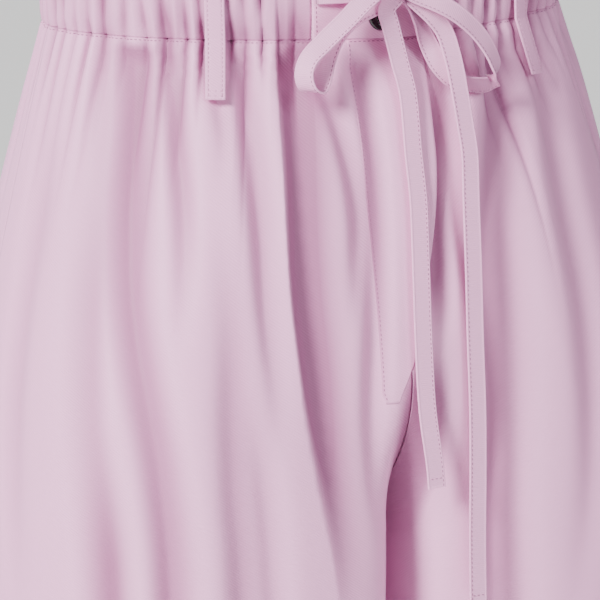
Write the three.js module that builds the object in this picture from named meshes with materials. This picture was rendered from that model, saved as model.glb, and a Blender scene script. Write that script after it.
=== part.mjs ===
// Drawstring trousers with an elasticated waistband, worn shape, wide straight legs.
// Millimetres, +Z up. The origin is the centre of the waist at the waistband seam; the wearer
// faces -Y, so the wearer's right leg is on -X. Heights below the seam are called drops.
import * as THREE from 'three';

// ---- Driving dimensions ----
const SEAM = 0.3; // gap left between two pieces where they are sewn
const CLOTH = 2; // wall of a trouser panel
const BAND_WALL = 2.6; // waistband: two layers of cloth round the elastic
const BAND_HEIGHT = 40;
const CROTCH = 258; // drop of the crotch point
const LENGTH = 1010; // drop of the hem
const LEG_SPREAD = 0.014; // how fast each inner leg leaves the middle plane below the crotch
const INNER_ZONE = 10; // width of the strip beside the middle plane that has no gathers
const FLAT_FRONT = 37.5; // half width of the waistband's plain front
const FLY_LEFT = 21; // folded edge of the fly, on the wearer's left of the middle
const FLY_STITCH = 19.8; // sewn edge of the fly, on the wearer's right of the middle
const FLY_LENGTH = 190;
const FLY_WALL = 1.2;
const BUTTON_RADIUS = 7.5;
const LOOP_WIDTH = 10;
const LOOP_WALL = 1.2;
const LOOP_DROP = 28.5; // how far a belt loop reaches below the seam
const TAPE_WIDTH = 10;
const TAPE_WALL = 1.2;

// ---- The body of the garment: one row for each level ----
// outer: half width; mid: where the rounded inner quarter begins; front, back: depths;
// the sharp columns are superellipse exponents of the inner quarters, 2 being a plain ellipse.
const SECTIONS = [
  { drop: 0, outer: 143, mid: 0, front: 93, back: 90, sharpRight: 2.0, sharpLeft: 2.0, sharpBack: 2.0 },
  { drop: 40, outer: 154, mid: 22, front: 103, back: 101, sharpRight: 2.2, sharpLeft: 2.2, sharpBack: 2.0 },
  { drop: 90, outer: 166, mid: 50, front: 111, back: 114, sharpRight: 2.6, sharpLeft: 2.6, sharpBack: 2.0 },
  { drop: 140, outer: 177, mid: 74, front: 116, back: 124, sharpRight: 3.2, sharpLeft: 3.0, sharpBack: 2.2 },
  { drop: 185, outer: 184, mid: 88, front: 118, back: 127, sharpRight: 4.2, sharpLeft: 3.4, sharpBack: 2.4 },
  { drop: 225, outer: 187, mid: 94, front: 118, back: 125, sharpRight: 5.5, sharpLeft: 3.6, sharpBack: 2.6 },
  { drop: 258, outer: 188, mid: 95, front: 117, back: 121, sharpRight: 6.0, sharpLeft: 3.6, sharpBack: 2.8 },
  { drop: 320, outer: 189, mid: 96, front: 113, back: 115, sharpRight: 6.0, sharpLeft: 3.4, sharpBack: 2.8 },
  { drop: 450, outer: 193, mid: 98, front: 106, back: 108, sharpRight: 4.5, sharpLeft: 3.0, sharpBack: 2.6 },
  { drop: 620, outer: 203, mid: 104, front: 100, back: 104, sharpRight: 3.2, sharpLeft: 2.6, sharpBack: 2.4 },
  { drop: 820, outer: 212, mid: 111, front: 97, back: 104, sharpRight: 2.6, sharpLeft: 2.4, sharpBack: 2.3 },
  { drop: 1010, outer: 219, mid: 117, front: 98, back: 106, sharpRight: 2.4, sharpLeft: 2.4, sharpBack: 2.3 },
];
const CLEFT_START = { front: 175, back: 185 }; // drop where the middle seam turns under the body

// ---- Long folds: soft troughs pressed into a panel ----
// from, to: drops of the two ends; path: distance from the side seam at five even steps between them;
// deep: depth; before, after: widths towards the side seam and away from it; rise: share of the length
// over which the trough deepens; fade: share of the length at which it starts to fade; lip: whether
// the side towards the side seam starts at a sharp edge.
const fold = (from, to, path, deep, before, after, rise, fade, lip = false) => ({
  from, to, path, deep, before, after, rise, fade, lip,
});
const FOLDS = {
  frontRight: [
    fold(0, 340, [139, 173, 205, 224, 233], 9.5, 9, 15, 0, 0.55, true),
    fold(0, 430, [57, 89, 125, 130, 131], 10.5, 8, 13, 0.02, 0.65),
    fold(0, 170, [76, 94, 112, 126, 134], 6.5, 5, 7, 0, 0.35),
    fold(0, 80, [96, 106, 117, 125, 131], 5, 4.5, 6, 0, 0.25),
    fold(0, 230, [110, 139, 164, 184, 196], 8.5, 6.5, 9, 0, 0.35),
    fold(5, 160, [151, 180, 203, 217, 227], 6, 6, 7, 0.1, 0.5),
    fold(0, 270, [171, 204, 229, 243, 252], 5.5, 6.5, 7, 0.05, 0.65),
    fold(50, 450, [116, 157, 168, 166, 162], 5.5, 10, 12, 0.35, 0.6),
    fold(170, 400, [174, 183, 185, 184, 182], 4, 7, 9, 0.3, 0.5),
    fold(190, 460, [98, 98, 98, 96, 94], 5, 10, 12, 0.3, 0.6),
    fold(0, 90, [42, 48, 54, 60, 65], 3.5, 5, 7, 0, 0.3),
    fold(0, 460, [45, 64, 84, 86, 88], 3, 12, 10, 0.4, 0.8),
    fold(20, 340, [20, 28, 33, 35, 36], 4.5, 9, 11, 0.25, 0.5),
  ],
  frontLeft: [
    fold(8, 170, [169, 188, 210, 229, 244], 6, 6, 4.5, 0.1, 0.4),
    fold(0, 430, [113, 186, 214, 208, 202], 8.5, 12, 10, 0, 0.65),
    fold(0, 340, [80, 127, 153, 160, 161], 6, 12, 10, 0, 0.5),
    fold(0, 340, [38, 62, 78, 84, 86], 5, 12, 12, 0, 0.5),
    fold(0, 330, [150, 198, 212, 214, 212], 8, 9, 8, 0, 0.6),
  ],
  backRight: [
    fold(0, 250, [42, 52, 60, 66, 70], 6, 11, 13, 0, 0.45),
    fold(0, 210, [92, 108, 121, 130, 136], 5, 9, 11, 0, 0.45),
    fold(10, 200, [140, 161, 178, 190, 198], 5, 9, 11, 0.25, 0.45),
    fold(225, 520, [226, 200, 176, 161, 150], 7, 14, 16, 0.25, 0.45),
    fold(250, 500, [120, 109, 100, 95, 92], 6, 14, 15, 0.25, 0.45),
  ],
  backLeft: [
    fold(0, 230, [50, 60, 69, 76, 80], 6, 11, 12, 0, 0.45),
    fold(0, 240, [104, 121, 134, 144, 150], 5, 9, 12, 0, 0.45),
    fold(10, 190, [150, 170, 187, 199, 206], 5, 9, 11, 0.25, 0.45),
    fold(230, 500, [222, 201, 182, 170, 160], 7, 14, 15, 0.25, 0.45),
    fold(260, 520, [128, 120, 112, 106, 100], 6, 14, 16, 0.25, 0.45),
  ],
};
// Long troughs that open out towards the hem: how many on each quarter, and how unevenly they lie.
const HEM_WAVES = {
  frontRight: { count: 3, shift: 0.05 },
  frontLeft: { count: 3, shift: -0.06 },
  backRight: { count: 3, shift: -0.05 },
  backLeft: { count: 4, shift: 0.03 },
};
const SEAM_PRESS = { share: 0.3, reach: 16 }; // what is left of a fold at the seam that holds it
const HEM_WAVE_DEPTH = 11;
const HEM_WAVE_START = 300;

// ---- Gathers at the waist: one for each crease of the elasticated band ----
// distances from the side seam along the waist
const CREASES = {
  frontRight: [6, 14, 23, 32, 41, 53, 65, 75, 86, 94, 108, 116, 124, 132, 141],
  frontLeft: [7, 16, 24, 34, 43, 52, 62, 72, 81, 92, 102, 112, 121, 131, 141],
};
const BACK_CREASES = 22; // on each side of the back, at uneven distances
const GATHER_DEPTH = 4;
const GATHER_SEEDS = { frontRight: 11, frontLeft: 23, backRight: 37, backLeft: 51 };
const FLAT_STEPS = 4; // columns across the plain strip of the front
const INNER_STEPS = 4; // columns across the strip beside the middle plane

const FINE_DROPS = [SEAM / 2, 12, 30, 55, 88, 128];
const COARSE_DROPS = [165, 195, 220, 238, 249, 255, CROTCH, 300, 360, 440, 550, 690, 850, LENGTH];

// ---- Small helpers ----
const clamp = (value, low, high) => Math.min(high, Math.max(low, value));
const smooth = (from, to, value) => {
  const part = clamp((value - from) / (to - from), 0, 1);
  return part * part * (3 - 2 * part);
};
const spaced = (first, last, steps) =>
  Array.from({ length: steps + 1 }, (_, step) => first + ((last - first) * step) / steps);

/** A repeatable stream of numbers from 0 to 1. */
function randomStream(seed) {
  let state = seed;
  return () => {
    state = (state * 16807) % 2147483647;
    return (state % 100000) / 100000;
  };
}

/** The height at any place of a smooth curve through the given places and heights. */
function curveThrough(places, heights, at) {
  const last = places.length - 1;
  let row = 0;
  while (row < last - 1 && at > places[row + 1]) row += 1;
  const slopeBetween = (first) => (heights[first + 1] - heights[first]) / (places[first + 1] - places[first]);
  const slopeAt = (index) => {
    if (index === 0) return slopeBetween(0);
    if (index === last) return slopeBetween(last - 1);
    return (slopeBetween(index - 1) + slopeBetween(index)) / 2;
  };
  const span = places[row + 1] - places[row];
  const t = (at - places[row]) / span;
  return (
    (1 + 2 * t) * (1 - t) ** 2 * heights[row] +
    t * (1 - t) ** 2 * span * slopeAt(row) +
    t * t * (3 - 2 * t) * heights[row + 1] +
    t * t * (t - 1) * span * slopeAt(row + 1)
  );
}

const SECTION_DROPS = SECTIONS.map((row) => row.drop);
const sectionValue = (column, drop) =>
  curveThrough(SECTION_DROPS, SECTIONS.map((row) => row[column]), drop);

// ---- The smooth body that every piece lies on ----
const OUTLINE_POINTS = 160; // points on each of the two stretches of a quarter outline
const outlines = new Map();

/** A quarter outline at one drop: from the side seam to the middle seam or the inseam. */
function quarterOutline(quarter, drop) {
  const key = `${quarter.name} ${drop}`;
  if (outlines.has(key)) return outlines.get(key);
  const level = Math.max(drop, 0);
  const outer = sectionValue('outer', level);
  const gap = SEAM / 2 + Math.max(0, level - CROTCH) * LEG_SPREAD;
  const mid = Math.max(gap, sectionValue('mid', level));
  const front = sectionValue('front', level);
  const back = sectionValue('back', level);
  const sharp = sectionValue(quarter.sharp, level);
  const middleY = (back - front) / 2;
  const depth = (front + back) / 2;
  const start = CLEFT_START[quarter.face];
  const under = clamp((level - start) / (CROTCH - start), 0, 1);
  const dip = 1 - Math.sqrt(1 - under * under);
  const reach = (1 - (1 - dip) ** sharp) ** (1 / sharp); // how much of the inner quarter is present
  const points = [];
  for (let step = 0; step <= OUTLINE_POINTS; step += 1) {
    const angle = (Math.PI / 2) * (step / OUTLINE_POINTS);
    points.push([mid + (outer - mid) * Math.cos(angle), middleY + quarter.facing * depth * Math.sin(angle)]);
  }
  const lastAngle = Math.asin(Math.min(1, reach ** (sharp / 2)));
  const innerPoints = mid > gap ? OUTLINE_POINTS : 0;
  for (let step = 1; step <= innerPoints; step += 1) {
    const part = step / OUTLINE_POINTS;
    if (reach < 1e-3) {
      points.push([mid + (gap - mid) * part, middleY + quarter.facing * depth]);
    } else {
      const angle = lastAngle * part;
      const across = (mid - gap) / reach;
      points.push([
        mid - across * Math.sin(angle) ** (2 / sharp),
        middleY + quarter.facing * depth * Math.max(0, Math.cos(angle)) ** (2 / sharp),
      ]);
    }
  }
  const lengths = [0];
  for (let index = 1; index < points.length; index += 1) {
    const [x, y] = points[index];
    const [lastX, lastY] = points[index - 1];
    lengths.push(lengths[index - 1] + Math.hypot(x - lastX, y - lastY));
  }
  const innerEdge = gap + INNER_ZONE;
  const innerIndex = points.findIndex(([x]) => x < innerEdge);
  const outline = { points, lengths, total: lengths.at(-1), innerStart: lengths[innerIndex] };
  outlines.set(key, outline);
  return outline;
}

/** A point of the smooth body, with the level normal that points out of it. */
function bodyPoint(quarter, along, drop) {
  const { points, lengths, total } = quarterOutline(quarter, drop);
  const target = clamp(along, 0, total);
  let low = 0;
  let high = lengths.length - 1;
  while (high - low > 1) {
    const half = (low + high) >> 1;
    if (lengths[half] <= target) low = half;
    else high = half;
  }
  const span = lengths[high] - lengths[low];
  const part = span > 0 ? (target - lengths[low]) / span : 0;
  const x = points[low][0] + (points[high][0] - points[low][0]) * part;
  const y = points[low][1] + (points[high][1] - points[low][1]) * part;
  const before = points[Math.max(0, low - 3)];
  const after = points[Math.min(points.length - 1, high + 3)];
  const run = Math.hypot(after[0] - before[0], after[1] - before[1]);
  const normal = new THREE.Vector3(
    (quarter.side * quarter.facing * (after[1] - before[1])) / run,
    (-quarter.facing * (after[0] - before[0])) / run,
    0,
  );
  const position = new THREE.Vector3(quarter.side * x, y, 0);
  position.z = -drop + waistTilt(position.x, y, drop);
  return { position, normal };
}

/** The waist is lower at the front than at the back, and a little higher on the wearer's left. */
function waistTilt(x, y, drop) {
  return (0.1 * y + 0.06 * x * smooth(0, 60, x)) * (1 - smooth(0, 220, drop));
}

// ---- Quarters of the garment ----
const QUARTERS = {
  frontRight: { name: 'frontRight', side: -1, face: 'front', facing: -1, sharp: 'sharpRight' },
  frontLeft: { name: 'frontLeft', side: 1, face: 'front', facing: -1, sharp: 'sharpLeft' },
  backRight: { name: 'backRight', side: -1, face: 'back', facing: 1, sharp: 'sharpBack' },
  backLeft: { name: 'backLeft', side: 1, face: 'back', facing: 1, sharp: 'sharpBack' },
};

/** Columns of a quarter: even ones are ridges and odd ones are the troughs of its gathers. */
function gatherColumns(quarter) {
  const random = randomStream(GATHER_SEEDS[quarter.name]);
  const { innerStart, total } = quarterOutline(quarter, 0);
  const gathered = quarter.face === 'front' ? total - FLAT_FRONT : innerStart;
  const unevenly = (unused, index) => ((index + 0.3 + 0.4 * random()) * gathered) / BACK_CREASES;
  const creases = CREASES[quarter.name] ?? Array.from({ length: BACK_CREASES }, unevenly);
  const columns = [{ key: 0, share: 0, deep: 0, reach: 1, trough: false }];
  creases.forEach((crease, index) => {
    const deep = GATHER_DEPTH * (0.55 + 0.6 * random());
    const reach = 16 + 60 * random() ** 1.6;
    const ridge = index < creases.length - 1 ? (crease + creases[index + 1]) / 2 : gathered;
    columns.push({ key: 2 * index + 1, share: crease / innerStart, deep, reach, trough: true });
    columns.push({ key: 2 * index + 2, share: ridge / innerStart, deep: 0.5 * random(), reach: 60, trough: false });
  });
  if (quarter.face === 'front') {
    for (let step = 1; step <= FLAT_STEPS; step += 1) {
      const at = gathered + ((innerStart - gathered) * step) / FLAT_STEPS;
      columns.push({ key: 2 * (creases.length + step), share: at / innerStart, deep: 0, reach: 1, trough: false });
    }
  }
  return columns;
}

const PATH_STEPS = spaced(0, 1, 4); // where along a fold the values of its path stand

/** Depth pressed into a panel by its long folds and the waves that open out to the hem. */
function foldDepth(quarter, along, drop) {
  let depth = 0;
  for (const { from, to, path, deep, before, after, rise, fade, lip } of FOLDS[quarter.name]) {
    const part = (drop - from) / (to - from);
    if (part < 0 || part > 1) continue;
    const away = along - curveThrough(PATH_STEPS, path, part);
    const width = away < 0 ? before : after;
    const strength = (rise > 0 ? smooth(0, rise, part) : 1) * (1 - smooth(fade, 1, part));
    const across = (away / width) ** 2;
    depth += deep * strength * (lip && away < 0 ? Math.max(0, 1 - across) : Math.exp(-across));
  }
  depth *= SEAM_PRESS.share + (1 - SEAM_PRESS.share) * smooth(0, SEAM_PRESS.reach, drop);
  const { total } = quarterOutline(quarter, drop);
  const { count, shift } = HEM_WAVES[quarter.name];
  const turn = along / total + shift * Math.sin(2 * Math.PI * (along / total));
  const wave = 0.5 - 0.5 * Math.cos(2 * Math.PI * count * turn);
  depth += HEM_WAVE_DEPTH * wave * smooth(HEM_WAVE_START, LENGTH, drop);
  return depth;
}

/** Folds die out beside the side seam, the middle seam and the crotch, so that the pieces meet there. */
function seamFade(quarter, along, drop) {
  const { total } = quarterOutline(quarter, drop);
  const fromMiddle = total - along;
  const middle = smooth(0, 12, fromMiddle);
  const side = smooth(0, 10, along);
  return middle * side;
}

// ---- Closed walls ----
/** Joins two rows of points whose keys rise, however many points each has. */
function joinRows(upper, lower, triangles, turned) {
  let i = 0;
  let j = 0;
  while (i < upper.length - 1 || j < lower.length - 1) {
    const nextUpper = i < upper.length - 1 ? upper[i + 1].key : Infinity;
    const nextLower = j < lower.length - 1 ? lower[j + 1].key : Infinity;
    const corner = nextUpper <= nextLower ? upper[i + 1].index : lower[j + 1].index;
    const triangle = [upper[i].index, lower[j].index, corner];
    if (nextUpper <= nextLower) i += 1;
    else j += 1;
    triangles.push(turned ? triangle.reverse() : triangle);
  }
}

/** A closed wall from rows of points, each with a key, an outer point and an inner point. */
function wallGeometry(rows) {
  const positions = [];
  const addPoint = (point) => {
    positions.push(point.x, point.y, point.z);
    return positions.length / 3 - 1;
  };
  const outer = rows.map((row) => row.map((cell) => ({ key: cell.key, index: addPoint(cell.outer) })));
  const inner = rows.map((row) => row.map((cell) => ({ key: cell.key, index: addPoint(cell.inner) })));
  const triangles = [];
  for (let row = 0; row < rows.length - 1; row += 1) {
    joinRows(outer[row], outer[row + 1], triangles, false);
    joinRows(inner[row], inner[row + 1], triangles, true);
  }
  joinRows(inner[0], outer[0], triangles, false);
  joinRows(outer.at(-1), inner.at(-1), triangles, false);
  const edge = (cells, pick) => cells.map((row, key) => ({ key, index: row.at(pick).index }));
  joinRows(edge(outer, 0), edge(inner, 0), triangles, false);
  joinRows(edge(inner, -1), edge(outer, -1), triangles, false);
  return closedGeometry(positions, triangles);
}

/** Makes the geometry, turned so that its faces point out. */
function closedGeometry(positions, triangles) {
  let volume = 0;
  const corner = (index) => new THREE.Vector3().fromArray(positions, 3 * index);
  for (const [a, b, c] of triangles) volume += corner(a).dot(corner(b).cross(corner(c)));
  const indices = triangles.flatMap(([a, b, c]) => (volume > 0 ? [a, b, c] : [a, c, b]));
  const geometry = new THREE.BufferGeometry();
  geometry.setAttribute('position', new THREE.Float32BufferAttribute(positions, 3));
  geometry.setIndex(indices);
  geometry.computeVertexNormals();
  return geometry;
}

/** The outer and inner point of a wall that lies on the smooth body. */
function wallCell(key, quarter, along, drop, raised, wall) {
  const { position, normal } = bodyPoint(quarter, along, drop);
  const outer = position.clone().addScaledVector(normal, raised);
  const inner = position.clone().addScaledVector(normal, raised - wall);
  return { key, outer, inner };
}

// ---- Trouser panels ----
/** One row of a panel; below the gathers a row leaves out the columns of the troughs. */
function panelRow(quarter, drop, withTroughs) {
  const { innerStart, total } = quarterOutline(quarter, drop);
  const row = [];
  const addCell = (key, wanted, gather) => {
    const along = clamp(wanted, SEAM / 2, total - (drop > CLEFT_START[quarter.face] ? SEAM / 2 : 0));
    const depth = (gather + foldDepth(quarter, along, drop)) * seamFade(quarter, along, drop);
    row.push(wallCell(key, quarter, along, drop, -depth, CLOTH));
  };
  for (const column of gatherColumns(quarter)) {
    if (column.trough && !withTroughs) continue;
    addCell(column.key, column.share * innerStart, column.deep * Math.exp(-((drop / column.reach) ** 2)));
  }
  const lastKey = row.at(-1).key;
  for (let step = 1; step <= INNER_STEPS; step += 1) {
    addCell(lastKey + step, innerStart + ((total - innerStart) * step) / INNER_STEPS, 0);
  }
  return row;
}

function panelGeometry(quarter) {
  const rows = [
    ...FINE_DROPS.map((drop) => panelRow(quarter, drop, true)),
    ...COARSE_DROPS.map((drop) => panelRow(quarter, drop, false)),
  ];
  return wallGeometry(rows);
}

// ---- Waistband ----
// height above the seam and how far the casing swells there
const CASING = [
  { height: SEAM / 2, swell: -0.4 },
  { height: 8, swell: 0.4 },
  { height: 32, swell: 0.4 },
  { height: BAND_HEIGHT, swell: -0.8 },
];
const FOLD_INTO_BAND = 16; // how far the folds of the panels reach up into the casing

/** One half of the elastic casing, from the plain front round the side to the middle of the back. */
function elasticGeometry(frontQuarter, backQuarter) {
  const rows = CASING.map(({ height, swell }) => {
    const cells = [];
    const addColumns = (quarter, columns, keyOf) => {
      const { innerStart, total } = quarterOutline(quarter, 0);
      for (const column of columns) {
        const end = quarter.face === 'front' ? total - FLAT_FRONT - SEAM / 2 : total;
        const along = Math.min(column.share * innerStart, end);
        const depth = column.deep + foldDepth(quarter, along, 0) * Math.exp(-((height / FOLD_INTO_BAND) ** 2));
        cells.push(wallCell(keyOf(column.key), quarter, along, -height, swell - depth, BAND_WALL));
      }
      if (quarter.face === 'back') {
        cells.push(wallCell(keyOf(2 * BACK_CREASES + 1), quarter, total, -height, swell, BAND_WALL));
      }
    };
    const gathered = gatherColumns(frontQuarter).slice(0, -FLAT_STEPS);
    addColumns(frontQuarter, gathered.reverse(), (key) => -key);
    addColumns(backQuarter, gatherColumns(backQuarter).slice(1), (key) => key);
    return cells;
  });
  return wallGeometry(rows);
}

const PLAIN_BAND_STEPS = 8;

/** A plain strip of waistband between two distances from the middle seam, on one or both sides. */
function plainBandGeometry(from, to) {
  const rows = CASING.map(({ height, swell }) =>
    spaced(from, to, PLAIN_BAND_STEPS).map((x, key) => {
      const quarter = x < 0 ? QUARTERS.frontRight : QUARTERS.frontLeft;
      const { total } = quarterOutline(quarter, 0);
      return wallCell(key, quarter, total - Math.abs(x), -height, swell, BAND_WALL);
    }),
  );
  return wallGeometry(rows);
}

// ---- Fly: the front edge of the right panel, folded and sewn down over the left one ----
const FLY_CLEAR = 0.35; // gap between the fly and the panels under it
const FLY_ROWS = 18;
const FLY_COLUMNS = 6;
// where each edge is drawn in: by how much, and between which drops
const FLY_STITCH_RUN = { inward: 4.5, start: 60, stop: 185 };
const FLY_STITCH_CORNER = { inward: 8, start: 176, stop: 192 };
const FLY_FOLD_RUN = { inward: 21, start: 55, stop: 202 };

/** Signed distances of the fly's sewn edge and folded edge from the middle seam. */
function flyEdges(drop) {
  const drawnIn = ({ inward, start, stop }) => inward * smooth(start, stop, drop);
  return {
    right: -FLY_STITCH + drawnIn(FLY_STITCH_RUN) + drawnIn(FLY_STITCH_CORNER),
    left: FLY_LEFT - drawnIn(FLY_FOLD_RUN),
  };
}

function flyGeometry() {
  const rows = spaced(SEAM / 2, FLY_LENGTH, FLY_ROWS).map((drop) => {
    const { right, left } = flyEdges(drop);
    return spaced(right, left, FLY_COLUMNS).map((x, key) => {
      const quarter = x < 0 ? QUARTERS.frontRight : QUARTERS.frontLeft;
      const { total } = quarterOutline(quarter, drop);
      return wallCell(key, quarter, total - Math.abs(x), drop, FLY_CLEAR + FLY_WALL, FLY_WALL);
    });
  });
  return wallGeometry(rows);
}

// ---- Belt loops ----
// quarter and distance of the loop's middle from the side seam, measured along the seam of the waist
const BELT_LOOPS = [
  { name: 'belt_loop_front_right', quarter: 'frontRight', along: 100 },
  { name: 'belt_loop_front_left', quarter: 'frontLeft', along: 97 },
  { name: 'belt_loop_back_right', quarter: 'backRight', along: 62 },
  { name: 'belt_loop_back_left', quarter: 'backLeft', along: 62 },
];
const LOOP_CLEAR = 0.8; // from the smooth body to the back of a loop at its sewn ends
const LOOP_ARCH = 0.7; // how much farther the middle of a loop stands off
const LOOP_LEAN = 0.345; // how fast a loop below the seam moves away from the side seam
const LOOP_START = 2 - BAND_HEIGHT;
const LOOP_ROWS = 9;
const LOOP_COLUMNS = 4;

/** A belt loop; placeAt gives the quarter and distance for a step across the loop at one drop. */
function loopGeometry(placeAt) {
  const rows = spaced(LOOP_START, LOOP_DROP, LOOP_ROWS).map((drop) => {
    const arch = LOOP_ARCH * Math.sin((Math.PI * (drop - LOOP_START)) / (LOOP_DROP - LOOP_START));
    return spaced(-LOOP_WIDTH / 2, LOOP_WIDTH / 2, LOOP_COLUMNS).map((across, key) => {
      const { quarter, along } = placeAt(across, drop);
      return wallCell(key, quarter, along, drop, LOOP_CLEAR + arch + LOOP_WALL, LOOP_WALL);
    });
  });
  return wallGeometry(rows);
}

function beltLoopGeometry(quarter, start) {
  return loopGeometry((across, drop) => ({ quarter, along: start + LOOP_LEAN * Math.max(0, drop) + across }));
}

/** The loop in the middle of the back lies on both halves. */
function backLoopGeometry() {
  return loopGeometry((across, drop) => {
    const quarter = across < 0 ? QUARTERS.backRight : QUARTERS.backLeft;
    return { quarter, along: quarterOutline(quarter, drop).total - Math.abs(across) };
  });
}

// ---- Button ----
const BUTTON_HEIGHT = 11.2; // above the seam
const BUTTON_X = -1.8; // a little towards the wearer's right
const BUTTON_LIFT = 1; // from the smooth body to the back of the button
// radius and distance from the button's back, from the middle of the back to the middle of the front
const BUTTON_PROFILE = [
  { radius: 0, out: 0 },
  { radius: 6.4, out: 0 },
  { radius: BUTTON_RADIUS, out: 0.9 },
  { radius: 7.2, out: 2.1 },
  { radius: 6.2, out: 2.6 },
  { radius: 5.2, out: 2.1 },
  { radius: 0, out: 1.9 },
];

function buttonMesh(material) {
  const profile = BUTTON_PROFILE.map(({ radius, out }) => new THREE.Vector2(radius, out));
  const mesh = new THREE.Mesh(new THREE.LatheGeometry(profile, 24), material);
  const { position } = bodyPoint(QUARTERS.frontLeft, quarterOutline(QUARTERS.frontLeft, 0).total, -BUTTON_HEIGHT);
  mesh.rotation.x = Math.PI; // the front of the button looks forwards
  mesh.position.set(BUTTON_X, position.y - BUTTON_LIFT, position.z);
  return mesh;
}

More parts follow.
